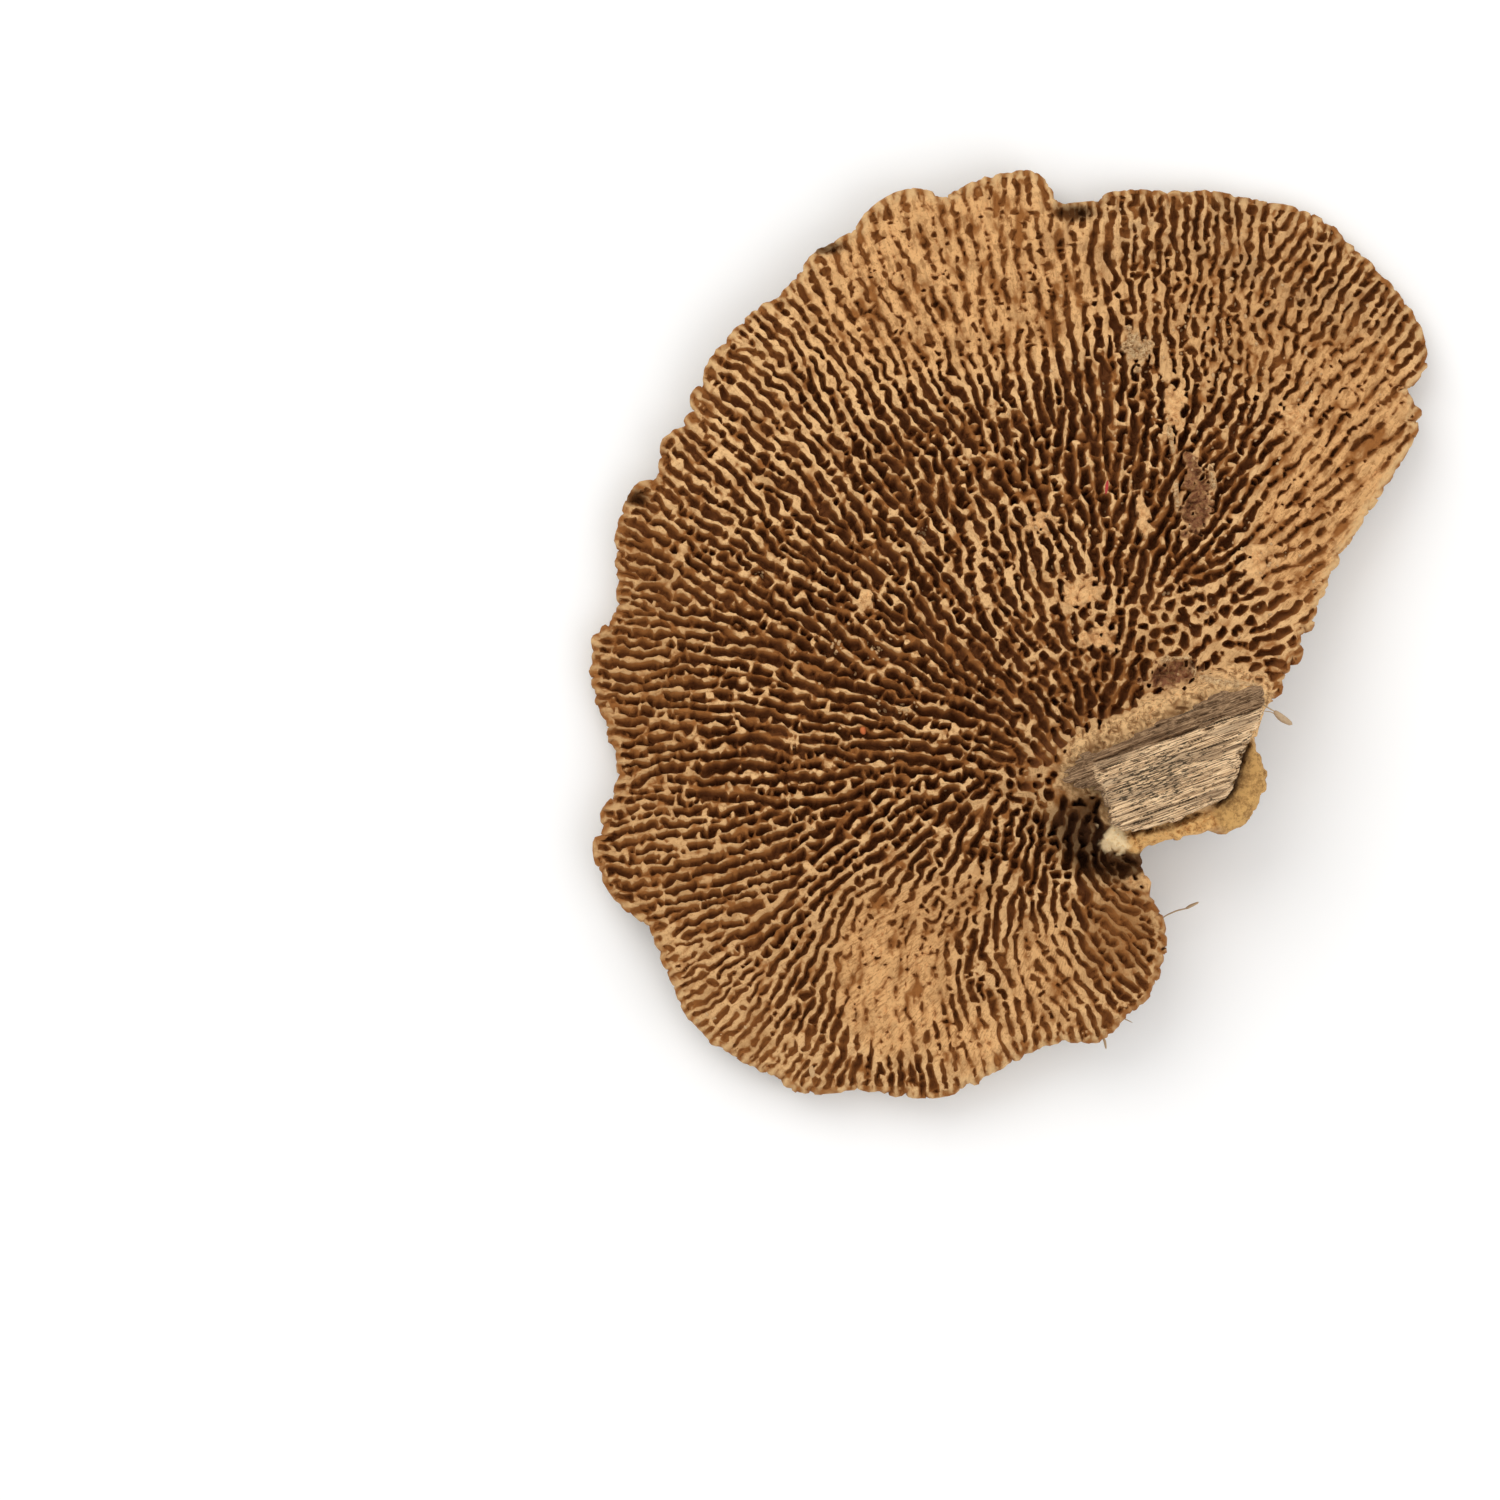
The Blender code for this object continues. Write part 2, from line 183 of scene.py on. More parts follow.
# Which way the gills run where they leave the rays from the hub: place, and degrees from +X.
FLOW_MARKS = (
    ((-74, -13), 178), ((52, 9), 18), ((-61, -50), 20), ((-53, -62), 40), ((-45, -75), 50),
    ((-38, -71), 82), ((-72, -45), 7), ((-74, -56), 6), ((-64, -66), 28), ((-24, -51), 42),
    ((-24, -64), 88), ((-16, -83), 90), ((-8.5, -79), 116), ((9, -68), 115), ((20, -64), 134),
    ((24, -58), 150), ((24, -50), 174), ((7, -50), 90), ((12, -47), 88), ((-3, -49), 58),
    ((61, 34), 48), ((49, 26), 52), ((70, 46), 43), ((66, 66), 42), ((31, 62), 97),
    ((57, 14), 35), ((45, 76), 94), ((50, 62), 78), ((62, 73), 58),
)
MARK_REACH = 9
RAY_WEIGHT = 0.12

# Painted shade, as ellipses: beside the wood and under the knob, where the wood's shadow falls, and then in
# the recesses of the outline's notches.
SHADOWS_BY_WOOD = (((22, -45.2), (9, 4.4)), ((15.5, -38.5), (8, 7.5)))
NOTCHES = (((13.3, 84.6), (4.2, 1.8)), ((-74.5, 27.4), (2.6, 1.6)), ((-36.6, 77.4), (4, 1.3)))
# Where the gills have weathered to a greyer brown.
WEATHERED = (((52, 76), (34, 9), -28), ((20, 80), (14, 8)))
# The rough scars, pale chips in a crater and along lines, and patches where gills have fused.
SCARS = (((37.8, 25.6), (2.7, 5.6), -6), ((37, 33), (1.3, 3), 0), ((32.3, -7.8), (5.2, 2.4), 8))
CRATER = ((26.3, 57.8), (2.4, 2.8), 20)
CHIP_LINES = (((30.5, -5.2), (35.9, -4.8), (37.1, -8), (42.1, -9.8), (49.1, -10.4)),
              ((32.4, 41), (33, 36.5)), ((33.6, 30.5), (34, 25)), ((40.6, 33.5), (41.2, 29.5)))
FUSED = (((14.3, 8.8), (3.4, 2.8), 20), ((18.3, -1.2), (4, 2.2), -10), ((26.8, -49.6), (3.6, 1.5), 8),
         ((-28.7, 7.4), (1.4, 1.8), 0), ((6, 22), (3, 2), 30), ((58, 44), (4, 2.2), 45),
         ((34, 46), (1.8, 5.5), -6), ((27, 24), (1.2, 4.5), 10), ((50, 14), (3.6, 2.2), 30))
# What has no gills round the wood: ellipses for the pad, its dome, the strip and the knob.
PAD = ((46.5, -31), (5.6, 10.5), -20)
PAD_DOME = ((47, -30.5), (6, 10), -20)
STRIP = ((31, -39.6), (12.4, 3.1), 14)
KNOB = ((21, -41.1), (2.5, 2.5))
# A round knot in the plates: its middle and radius.
RING_KNOT = ((67.7, 47.2), 2.5)
# Thin cracks across the plates, slits that reach in from the margin, and where the margin is toothed.
CRACKS = (((62.8, 25.8), (67.6, 24)), ((59.8, 17), (65, 16.2)), ((57, 9.6), (61.6, 8.4)))
SLITS = (((31.9, 92.5), (32.2, 86)), ((82.5, 50.5), (78.5, 49)), ((84, 42), (80, 43)))
SLIT_HALF = 0.35
TEETH = ((58, -4), (9, 11))
# Where the wood is specked.
SPECKED = ((28.5, -28.5), (9.5, 4.5), GRAIN_DEG)

# The fields over the plan that the fungus's material reads, and its colours.
PAINTED = ("inset", "zone", "rut", "shade", "weather", "scar", "crater", "fused", "collar", "pad", "strip",
           "knob", "crevice")
EDGE_PALE = (0.8, 0.49, 0.225)
EDGE_TAN = (0.77, 0.43, 0.178)
EDGE_DULL = (0.42, 0.225, 0.09)
EDGE_BROWN = (0.32, 0.14, 0.042)
RUT_BROWN = (0.4, 0.195, 0.07)
WALL_BROWN = (0.31, 0.118, 0.03)
# The gaps' browns darken with depth: partly the gaps' own browner flesh, partly painted shade deep in the
# gaps.
GAP_BROWN = (0.24, 0.084, 0.021)
GAP_DARK = (0.235, 0.084, 0.026)
MARGIN_CREAM = (0.68, 0.43, 0.2)
SHADE_TINT = (0.28, 0.27, 0.265)
WEATHER_TINT = (0.76, 0.75, 0.77)
SCAR_BROWN = (0.27, 0.108, 0.05)
CHIP_CREAM = (0.74, 0.54, 0.3)
PAD_OCHRE = (0.66, 0.38, 0.13)
PAD_BROWN = (0.33, 0.17, 0.055)
STRIP_ORANGE = (0.84, 0.49, 0.18)
STRIP_BROWN = (0.42, 0.19, 0.055)
KNOB_CREAM = (0.92, 0.7, 0.4)
COLLAR_TAN = (0.88, 0.555, 0.26)
COLLAR_BROWN = (0.34, 0.17, 0.065)
# Painted shade in the crevice between the wood and the pad and strip.
CREVICE_SHADE = (0.11, 0.06, 0.03)
SKIN_DARK = (0.15, 0.085, 0.045)
SKIN_BROWN = (0.33, 0.2, 0.1)
SKIN_PALE = (0.5, 0.36, 0.2)
SKIN_BANDS = ((0.3, SKIN_DARK), (0.45, SKIN_BROWN), (0.55, SKIN_DARK), (0.64, SKIN_BROWN), (0.74, SKIN_PALE),
              (0.8, SKIN_BROWN), (0.9, SKIN_DARK), (1, SKIN_PALE), (1.06, SKIN_PALE))
SPLIT_DARK = (0.05, 0.035, 0.02)
WOOD_GREY = (0.22, 0.14, 0.08)
WOOD_STREAKS = ((0.38, (0.06, 0.035, 0.018)), (0.45, (0.39, 0.24, 0.125)),
                (0.51, (0.69, 0.465, 0.26)), (0.61, (0.93, 0.67, 0.4)))
BARK_STREAKS = ((0.36, (0.06, 0.033, 0.016)), (0.5, (0.185, 0.102, 0.05)), (0.64, (0.39, 0.24, 0.125)))
# How far from the hub the fanned fibres of the material are as wide as they are said to be.
FAN_RADIUS = 60

# The camera looks straight down, so far off that the sides hardly show, and frames the gill plane.
VIEW_CENTRE = (-51.7, -23.2)
GILL_PLANE = 15
CAMERA_HEIGHT = 2000
VIEW_WIDTH = 300
SENSOR = 36


def ease(low, high, value):
    """0 at low, 1 at high, and a smooth rise between them."""
    share = np.clip((value - low) / (high - low), 0, 1)
    return share * share * (3 - 2 * share)


def turned(x, y, turn):
    """How far places or waves lie along and across a way, in radians from +X."""
    return x * math.cos(turn) + y * math.sin(turn), y * math.cos(turn) - x * math.sin(turn)


class Grid:
    """A regular net of points over the plan."""

    def __init__(self, lowest, highest, step):
        self.step = step
        self.x0, self.y0 = lowest
        self.columns, self.rows = (2 * math.ceil(side / step / 2) for side in highest - lowest)
        self.xs = self.x0 + step * np.arange(self.columns)
        self.ys = self.y0 + step * np.arange(self.rows)
        self.x, self.y = np.meshgrid(self.xs, self.ys)
        self.fx = np.fft.rfftfreq(self.columns, step)[None, :]
        self.fy = np.fft.fftfreq(self.rows, step)[:, None]
        self.frequency = np.hypot(self.fx, self.fy)

    def read(self, field, x, y):
        """The field's values at any places, between its points."""
        u = np.clip((x - self.x0) / self.step, 0, self.columns - 1.001)
        v = np.clip((y - self.y0) / self.step, 0, self.rows - 1.001)
        i, j = u.astype(int), v.astype(int)
        u, v = u - i, v - j
        low = field[j, i] * (1 - u) + field[j, i + 1] * u
        high = field[j + 1, i] * (1 - u) + field[j + 1, i + 1] * u
        return low * (1 - v) + high * v

    def sifted(self, field, keep):
        """The field with its waves kept in these shares."""
        return np.fft.irfft2(np.fft.rfft2(field) * keep, s=field.shape)

    def blurred(self, field, radius):
        return self.sifted(field, np.exp(-((self.frequency * radius * 4.4) ** 2) / 2))

    def noise(self, size, seed, octaves=1):
        """Smooth seeded noise with a spread of 1, whose swells are about this size."""
        dice = np.random.default_rng(seed)
        total = np.zeros(self.x.shape)
        for octave in range(octaves):
            keep = np.exp(-((self.frequency * size * 2 / 2**octave) ** 2))
            layer = self.sifted(dice.standard_normal(self.x.shape), keep)
            total += layer / layer.std() / 1.7**octave
        return total / total.std()

    def streaks(self, length, width, turn, seed):
        """Smooth seeded noise drawn out along one way, with a spread of 1."""
        along, across = turned(self.fx, self.fy, turn)
        keep = np.exp(-((along * length * 2) ** 2) - (across * width * 2) ** 2)
        layer = self.sifted(np.random.default_rng(seed).standard_normal(self.x.shape), keep)
        return layer / layer.std()

    def from_line(self, start, end):
        """Distance from each point to a straight stretch of line."""
        dx, dy = end[0] - start[0], end[1] - start[1]
        share = np.clip(((self.x - start[0]) * dx + (self.y - start[1]) * dy) / (dx * dx + dy * dy), 0, 1)
        return np.hypot(self.x - start[0] - share * dx, self.y - start[1] - share * dy)

    def mainland(self, field, level, place):
        """The field, with what rises above the level but is cut off from the place lowered under it."""
        above = field > level
        reached = np.zeros_like(above)
        reached[round((place[1] - self.y0) / self.step), round((place[0] - self.x0) / self.step)] = True
        count = 0
        while reached.sum() > count:
            count = reached.sum()
            for _ in range(4):
                reached, above = np.rot90(reached), np.rot90(above)
                steps = np.arange(above.shape[1])
                last = np.maximum.accumulate(np.where(reached, steps, -1), 1)
                wall = np.maximum.accumulate(np.where(above, -1, steps), 1)
                reached = reached | (above & (last > wall))
        return np.where(above & ~reached, level - 1.0, field)


def off_centre(x, y, centre, radii, degrees=0):
    """0 in the middle of a turned ellipse and 1 on its edge."""
    along, across = turned(x - centre[0], y - centre[1], math.radians(degrees))
    return np.hypot(along / radii[0], across / radii[1])


def blob(x, y, *ellipse):
    """1 in the middle of a turned ellipse, falling smoothly past its edge."""
    return np.exp(-(off_centre(x, y, *ellipse) ** 4))


def places_of(piece):
    """The places of a piece's points, in millimetres."""
    places = np.empty(len(piece.data.vertices) * 3)
    piece.data.vertices.foreach_get("co", places)
    return places.reshape(-1, 3) / MM


class Solid:
    """A piece's triangles, in millimetres, with its outline from above and its heights."""

    def __init__(self, piece):
        piece.data.calc_loop_triangles()
        corners = np.empty(len(piece.data.loop_triangles) * 3, int)
        piece.data.loop_triangles.foreach_get("vertices", corners)
        self.places, welded = np.unique(np.round(places_of(piece), 3), axis=0, return_inverse=True)
        self.corners = welded.reshape(-1)[corners].reshape(-1, 3)
        self.tree = BVHTree.FromPolygons(self.places.tolist(), self.corners.tolist())

    def outline(self, centre):
        """The silhouette from above, anticlockwise: how far it reaches each way from the centre."""
        ends = self.corners[:, [0, 1, 1, 2, 2, 0]].reshape(-1, 2)
        a, b = (self.places[ends[:, k], :2] - centre for k in (0, 1))
        ring = []
        for way in np.linspace(0, 2 * math.pi, OUTLINE_POINTS, endpoint=False):
            ahead = np.array([math.cos(way), math.sin(way)])
            side = np.array([-ahead[1], ahead[0]])
            aside, bside = a @ side, b @ side
            crossing = aside * bside < 0
            share = aside[crossing] / (aside[crossing] - bside[crossing])
            reach = (a[crossing] @ ahead) * (1 - share) + (b[crossing] @ ahead) * share
            ring.append(centre + ahead * reach.max())
        return np.array(ring)

    def height(self, x, y, start=60, way=-1):
        """Where a line straight down or up first meets it, if it does."""
        hit = self.tree.ray_cast(Vector((x, y, start)), Vector((0, 0, way)))[0]
        return np.nan if hit is None else hit.z

    def heights(self, grid, start, way):
        return np.array([[self.height(x, y, start, way) for x in grid.xs] for y in grid.ys])


def boundary_loops(corners):
    """The open edges of a triangle net as loops of point numbers, each from its lowest."""
    edges = corners[:, [0, 1, 1, 2, 2, 0]].reshape(-1, 2)
    size = corners.max() + 1
    keys = edges[:, 0] * size + edges[:, 1]
    paired = np.isin(edges[:, 1] * size + edges[:, 0], keys)
    following = dict(edges[~paired].tolist())
    loops = []
    while following:
        point = next(iter(following))
        loop = []
        while point in following:
            loop.append(point)
            point = following.pop(point)
        loops.append(np.roll(loop, -int(np.argmin(loop))))
    return loops


def smooth_ring(points, count):
    """Evenly spaced points on a smooth closed curve through the given ones."""
    before, here, after, later = (np.roll(points, k, axis=0)[:, None] for k in (1, 0, -1, -2))
    share = np.linspace(0, 1, 8, endpoint=False)[:, None]
    curve = 0.5 * (2 * here + (after - before) * share
                   + (2 * before - 5 * here + 4 * after - later) * share**2
                   + (3 * here - before - 3 * after + later) * share**3)
    curve = curve.reshape(-1, 2)
    closed = np.vstack([curve, curve[:1]])
    along = np.concatenate([[0], np.cumsum(np.hypot(*np.diff(closed, axis=0).T))])
    marks = np.linspace(0, along[-1], count, endpoint=False)
    return np.stack([np.interp(marks, along, closed[:, k]) for k in (0, 1)], 1)


def inside_distance(x, y, ring):
    """Distance from each place to a closed line, positive inside it."""
    nearest = np.full(x.shape, np.inf)
    inside = np.zeros(x.shape, bool)
    for (ax, ay), (bx, by) in zip(ring, np.roll(ring, -1, axis=0)):
        dx, dy = bx - ax, by - ay
        share = np.clip(((x - ax) * dx + (y - ay) * dy) / (dx * dx + dy * dy), 0, 1)
        nearest = np.minimum(nearest, np.hypot(x - ax - share * dx, y - ay - share * dy))
        if dy:
            inside ^= ((ay > y) != (by > y)) & (x < ax + (y - ay) * dx / dy)
    return np.where(inside, nearest, -nearest)


def around(values):
    """Each point's value and its eight neighbours', added up."""
    padded = np.pad(values, 1)
    rows, columns = values.shape
    return sum(padded[j : j + rows, i : i + columns] for j in range(3) for i in range(3))


def filled(heights, rounds=12):
    """The heights with the gaps round them filled from their neighbours, outwards."""
    heights = heights.copy()
    for _ in range(rounds):
        known = np.isfinite(heights)
        total, count = around(np.where(known, heights, 0)), around(known.astype(float))
        fresh = ~known & (count > 0)
        heights[fresh] = total[fresh] / count[fresh]
    return np.where(np.isfinite(heights), heights, np.nanmin(heights))


def spread(field, reach, pick):
    """Each point takes the highest or lowest value within reach, in grid steps."""
    result = field.copy()
    rows, columns = field.shape
    padded = np.pad(field, reach, mode="edge")
    for j in range(2 * reach + 1):
        for i in range(2 * reach + 1):
            if (i - reach) ** 2 + (j - reach) ** 2 <= reach * reach:
                result = pick(result, padded[j : j + rows, i : i + columns])
    return result


def region_look(x, y):
    """The look of the gills at each place."""
    looks = [np.full(x.shape, float(value)) for value in PLAIN_LOOK]
    for *ellipse, look in REGIONS:
        weight = blob(x, y, *ellipse)
        looks = [field + (value - field) * weight for field, value in zip(looks, look)]
    return Look(*looks)


def flow_angle(x, y):
    """Which way the gills run: out from the hub, and otherwise as marked."""
    ray = np.arctan2(y - HUB[1], x - HUB[0])
    cosine, sine = RAY_WEIGHT * np.cos(2 * ray), RAY_WEIGHT * np.sin(2 * ray)
    for (mx, my), degrees in FLOW_MARKS:
        weight = np.exp(-((x - mx) ** 2 + (y - my) ** 2) / (2 * MARK_REACH**2))
        cosine += weight * math.cos(2 * math.radians(degrees))
        sine += weight * math.sin(2 * math.radians(degrees))
    return 0.5 * np.arctan2(sine, cosine)


def level_weights(value, levels):
    """How much each of the rising levels counts for each value."""
    place = np.interp(np.log(value), np.log(np.array(levels)), np.arange(len(levels)))
    return np.clip(1 - np.abs(place[None] - np.arange(len(levels))[:, None, None]), 0, 1)


def way_weights(angle):
    """Evenly spread ways, each with how much it counts for each angle."""
    turn = math.pi / MAZE_BINS
    for way in np.arange(MAZE_BINS) * turn:
        off = np.abs((angle - way + math.pi / 2) % math.pi - math.pi / 2)
        yield way, np.clip(1 - off / turn, 0, 1)


def comb_filters(grid, angle, pitch, stretch):
    """Pairs of a filter that keeps ripples of one way, pitch and length, and where it counts."""
    pitch_weights = level_weights(pitch, MAZE_PITCHES)
    stretch_weights = level_weights(stretch, MAZE_STRETCHES)
    filters = []
    for way, angle_weight in way_weights(angle):
        along, across = turned(grid.fx, grid.fy, way)
        for span, pitch_weight in zip(MAZE_PITCHES, pitch_weights):
            for pull, stretch_weight in zip(MAZE_STRETCHES, stretch_weights):
                weight = (angle_weight * pitch_weight * stretch_weight).astype(np.float32)
                if weight.max() <= 0:
                    continue
                radius = np.maximum(np.hypot(across, along * pull) * span, 1e-6)
                gain = np.exp(-(np.log(radius) ** 2) / (2 * MAZE_BAND**2))
                if pull > 1:
                    gain = gain * (np.abs(across) * span / radius) ** MAZE_LOOSENESS
                filters.append((gain.astype(np.float32), weight))
    return filters


def combed(grid, field, filters):
    """The field's ripples that the filters keep, equally strong all over."""
    spectrum = np.fft.rfft2(field)
    result = sum(weight * np.fft.irfft2(spectrum * gain, s=field.shape) for gain, weight in filters)
    return result / np.sqrt(grid.blurred(result**2, EVENING) + 1e-6 * result.var())


def grow_maze(grid, angle, pitch, stretch, spots):
    """Branching ripples like the fungus's gills, above 0 at the walls, grown from noise in rounds."""
    filters = comb_filters(grid, angle, pitch, stretch)
    dice = np.random.default_rng(8)
    field = np.random.default_rng(1).standard_normal(grid.x.shape)
    for _ in range(MAZE_ROUNDS):
        grown = combed(grid, field, filters)
        grown = grown - spots * (grown**2 - 1)
        field = np.tanh(1.6 * grown) + MAZE_NOISE * dice.standard_normal(grid.x.shape)
    return grown


def drawn_out(grid, angle, length, width, seed):
    """Seeded noise drawn out along the angle of each place, with a spread of 1."""
    total = np.zeros(angle.shape)
    for way, weight in way_weights(angle):
        total += weight * grid.streaks(length, width, way, seed)
    return total / total.std()


def distance_like(grid, field):
    """The field scaled so that it counts about a millimetre's rise for each millimetre of the way."""
    gy, gx = np.gradient(field, grid.step)
    return field / (grid.blurred(np.hypot(gx, gy), 2) + 0.05)


def level_for_share(grid, field, share):
    """The level that leaves this share of the field above it, all over."""
    level = np.zeros(field.shape)
    for _ in range(8):
        above = grid.blurred((field > level).astype(float), SHARE_REACH)
        level += 1.5 * (above - share)
    return level


class Cap:
    """The shape of the whole fungus, as fields over the plan."""

    def __init__(self):
        solid, wood = Solid(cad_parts["cap"]), Solid(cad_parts["wood_remnant"])
        lowest, highest = (np.array(corner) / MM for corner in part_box("cap"))
        self.lowest, self.highest = lowest, highest
        coarse = Grid(lowest[:2] - EDGE_ROOM, highest[:2] + EDGE_ROOM, COARSE)
        self.grid = grid = Grid(lowest[:2] - EDGE_ROOM, highest[:2] + EDGE_ROOM, STEP)
        ring = smooth_ring(solid.outline(HUB), 480)
        x, y = grid.x, grid.y

        def fine(field):
            return coarse.read(field, x, y)

        self.inset = fine(inside_distance(coarse.x, coarse.y, ring)) - self.ragged_edge()
        self.inset = grid.mainland(self.inset, RIM_INSET, HUB)
        edges = filled(solid.heights(coarse, highest[2] + 10, -1))
        closed = spread(spread(edges, ENVELOPE_REACH, np.maximum), ENVELOPE_REACH, np.minimum)
        self.envelope = fine(coarse.blurred(closed, 0.8))
        self.skin = fine(coarse.blurred(filled(solid.heights(coarse, -10, 1)), 0.5))
        self.wood_inset = inside_distance(x, y, smooth_ring(wood.outline(GRAIN_CENTRE), 160))
        self.attachment()
        self.gills()
        self.relief = self.boss_relief()

    def ragged_edge(self):
        """How far the margin is worn back from the smooth outline."""
        grid, noise = self.grid, self.grid.noise
        wear = 0.3 * noise(3.2, 21) + 0.22 * noise(1.3, 22) + 0.16 * noise(0.7, 24)
        teeth = blob(grid.x, grid.y, *TEETH) * (0.5 + 0.9 * noise(0.9, 23))
        wear = np.clip(wear + teeth, -0.35, 2.2)
        for start, end in SLITS:
            wear += 4 * ease(SLIT_HALF + 0.3, SLIT_HALF - 0.1, grid.from_line(start, end))
        return wear

    def attachment(self):
        """Where the boss is free of gills: the collar above the wood, the pad, the strip and the knob."""
        x, y, noise = self.grid.x, self.grid.y, self.grid.noise
        wear = noise(1.2, 31, 2)
        above_wood = ease(-5, 3, y + 31 - 0.36 * (x - 10))
        reach = 1 + 3.6 * above_wood * ease(8, 14, x) * ease(56, 44, x)
        self.collar = ease(-0.8, 0.8, self.wood_inset + reach + 0.6 * wear)
        self.pad = ease(0.35, 0.65, blob(x, y, *PAD) + 0.04 * wear)
        self.strip = ease(0.35, 0.65, blob(x, y, *STRIP) + 0.08 * wear)
        ragged = 0.26 * noise(1.6, 32) + 0.24 * noise(0.7, 33)

        def patches(*marks):
            """1 on the turned ellipses, which have ragged edges."""
            nearest = np.minimum.reduce([off_centre(x, y, *mark) for mark in marks])
            return ease(-0.15, 0.15, 1 - nearest + ragged)

        def shaded(places):
            return sum(blob(x, y, *place) for place in places)

        self.knob = patches(KNOB)
        self.scar = patches(*SCARS)
        line = np.minimum.reduce([self.grid.from_line(*ends) for marks in CHIP_LINES
                                  for ends in zip(marks, marks[1:])])
        self.crater = np.maximum(patches(CRATER), ease(0.55, 0.2, line + 0.15 * wear))
        self.fused = patches(*FUSED)
        # The crevice beside the wood is cut into the boss and also darkened as painted shade. The shade
        # field is painted shade beside the wood, under the knob and in the outline's notches.
        beside_wood = np.exp(-((self.wood_inset + 0.4) / 0.7) ** 2)
        self.crevice = beside_wood * np.maximum(self.pad, 0.6 * self.strip)
        self.shade = np.clip(shaded(SHADOWS_BY_WOOD + NOTCHES), 0, 1)
        self.weather = shaded(WEATHERED) * ease(-0.8, 1.4, noise(1.8, 34, 3))
        self.bare = np.maximum.reduce([self.collar, self.pad, self.strip, self.knob, self.scar,
                                       self.crater, 0.4 * self.fused])

    def gills(self):
        """The maze of walls and gaps, and how deep, leaning and rough it is."""
        grid, noise, inset = self.grid, self.grid.noise, self.inset
        x, y = grid.x, grid.y
        self.look = look = region_look(x, y)
        reach = np.hypot(x - HUB[0], y - HUB[1])
        angle = flow_angle(x, y) + look.wander * noise(5, 3)
        stretch = 1 + (look.stretch - 1) * ease(*PORES_WITHIN, reach)
        self.plates = plates = ease(0.48, 0.62, look.walls)
        round_cells = ease(2.4, 1.3, stretch)
        spots = (PLAIN_SPOTS + (ROUND_SPOTS - PLAIN_SPOTS) * round_cells
                 + 0.15 * ease(0.7, 0.85, look.walls))
        maze = grow_maze(grid, angle, look.pitch * (1 + 0.06 * noise(7, 5)), stretch, spots)
        kinks = [0.28 * noise(1.6, seed) + 0.12 * noise(0.8, seed + 1) for seed in (41, 43)]
        sway = np.minimum(look.wave, 1)
        maze = grid.read(maze, x + kinks[0] * sway, y + kinks[1] * sway)
        peaks = grid.blurred(spread(maze, round(PEAK_REACH / grid.step), np.maximum), 0.9)
        maze = maze / np.maximum(peaks, 0.3) ** PEAK_EVENING
        maze = distance_like(grid, maze - level_for_share(grid, maze, look.walls - BRIDGE_SHARE))
        maze = maze + (0.06 + 0.14 * plates + 0.3 * (look.wave - sway)) * noise(0.8, 49)
        maze = np.maximum(maze, self.bridges(angle, plates))
        cuts = drawn_out(grid, angle + math.pi / 2, CUT_LENGTH, CUT_WIDTH, 13)
        maze = maze - 1.5 * plates * np.clip(cuts - CUT_RARITY, 0, 0.8)
        maze = grid.blurred(maze, 0.22)
        upright = ease(0.25, 0.08, look.lean) * (1 - plates)
        steeper = NARROW_GAP * ease(0.6, 0.7, look.walls) + STEEP_CELLS * upright
        maze = maze + steeper * np.minimum(maze, 0)
        (knot_x, knot_y), knot_radius = RING_KNOT
        ring = np.hypot(x - knot_x, 1.2 * (y - knot_y)) - knot_radius + 0.4 * noise(1.5, 76)
        maze = np.where(ring < 0.9, 1.6 * np.abs(ring) - 0.45 + 0.25 * noise(1, 77), maze)
        self.rut = ease(0.1, -0.3, maze) * (1 - self.bare)
        plain = 1.5 * ease(BAND_START[1], BAND_START[0], inset + 0.45 * noise(1.5, 45))
        plain = (plain + 2 * ease(*RIM_CLOSES, inset)) * ease(-0.4, 0.9, noise(2.4, 40))
        self.maze = maze * (1 - self.bare) + 2 * self.bare + plain
        for start, end in CRACKS:
            self.maze = np.minimum(self.maze, 1.2 * grid.from_line(start, end) - 0.35)
        self.depth = np.interp(inset, *GAP_DEPTHS) * (1 + 0.12 * noise(4, 46)) * look.depth
        self.lean = look.lean * ease(1.5, 5, inset)
        fibres = drawn_out(grid, angle, 2.2, 0.3, 15)
        steps = drawn_out(grid, angle, 4, 1, 14)
        self.crest = 0.14 * noise(1.6, 47) + 0.08 * noise(0.7, 48) + 0.07 * fibres + 0.28 * plates * steps
        self.wrinkles = 0.22 * fibres * ease(4, 1.5, inset)
        self.zone = reach / (reach + np.maximum(inset, 0) + 1e-3)

    def bridges(self, angle, plates):
        """Short thin walls across the gaps, which part them into cells; above 0 where they stand."""
        ties = drawn_out(self.grid, angle + math.pi / 2, BRIDGE_LENGTH, BRIDGE_WIDTH, 12)
        rise = BRIDGE_RISE + BRIDGE_SWING * self.grid.noise(1.5, 50)
        return np.minimum(BRIDGE_WIDTH * (ties - BRIDGE_RARITY + RUNGS * plates), rise)

    def top(self, x, y, maze):
        """Places of the gill side's points: edges at the envelope, floors below it and leaning."""

        def here(field):
            return self.grid.read(field, x, y)

        sunk = np.clip((EDGE_LEVEL - maze) / (EDGE_LEVEL - FLOOR_LEVEL), 0, 1)
        wide = np.clip(FLOOR_LEVEL - maze, 0, 1)
        depth = here(self.depth) * (sunk**GAP_SHAPE + WIDE_GAP * wide)
        plates = here(self.plates)
        rounding = np.exp(-np.maximum(maze - EDGE_LEVEL, 0) / (0.35 + 0.2 * plates))
        worn = (0.2 + 0.22 * plates) * rounding * (sunk == 0)
        crest = here(self.crest) * ease(1.2, 2.4, here(self.inset)) + here(self.wrinkles)
        height = here(self.envelope + self.relief) + crest - worn - depth
        height = np.maximum(height, here(self.skin) + LEAST_THICKNESS)
        over = np.maximum(height - self.highest[2] + TOP_ROOM, 0)
        height = height - over + TOP_ROOM * (1 - np.exp(-over / TOP_ROOM))
        return np.stack([x, y - here(self.lean) * depth, height], 1)

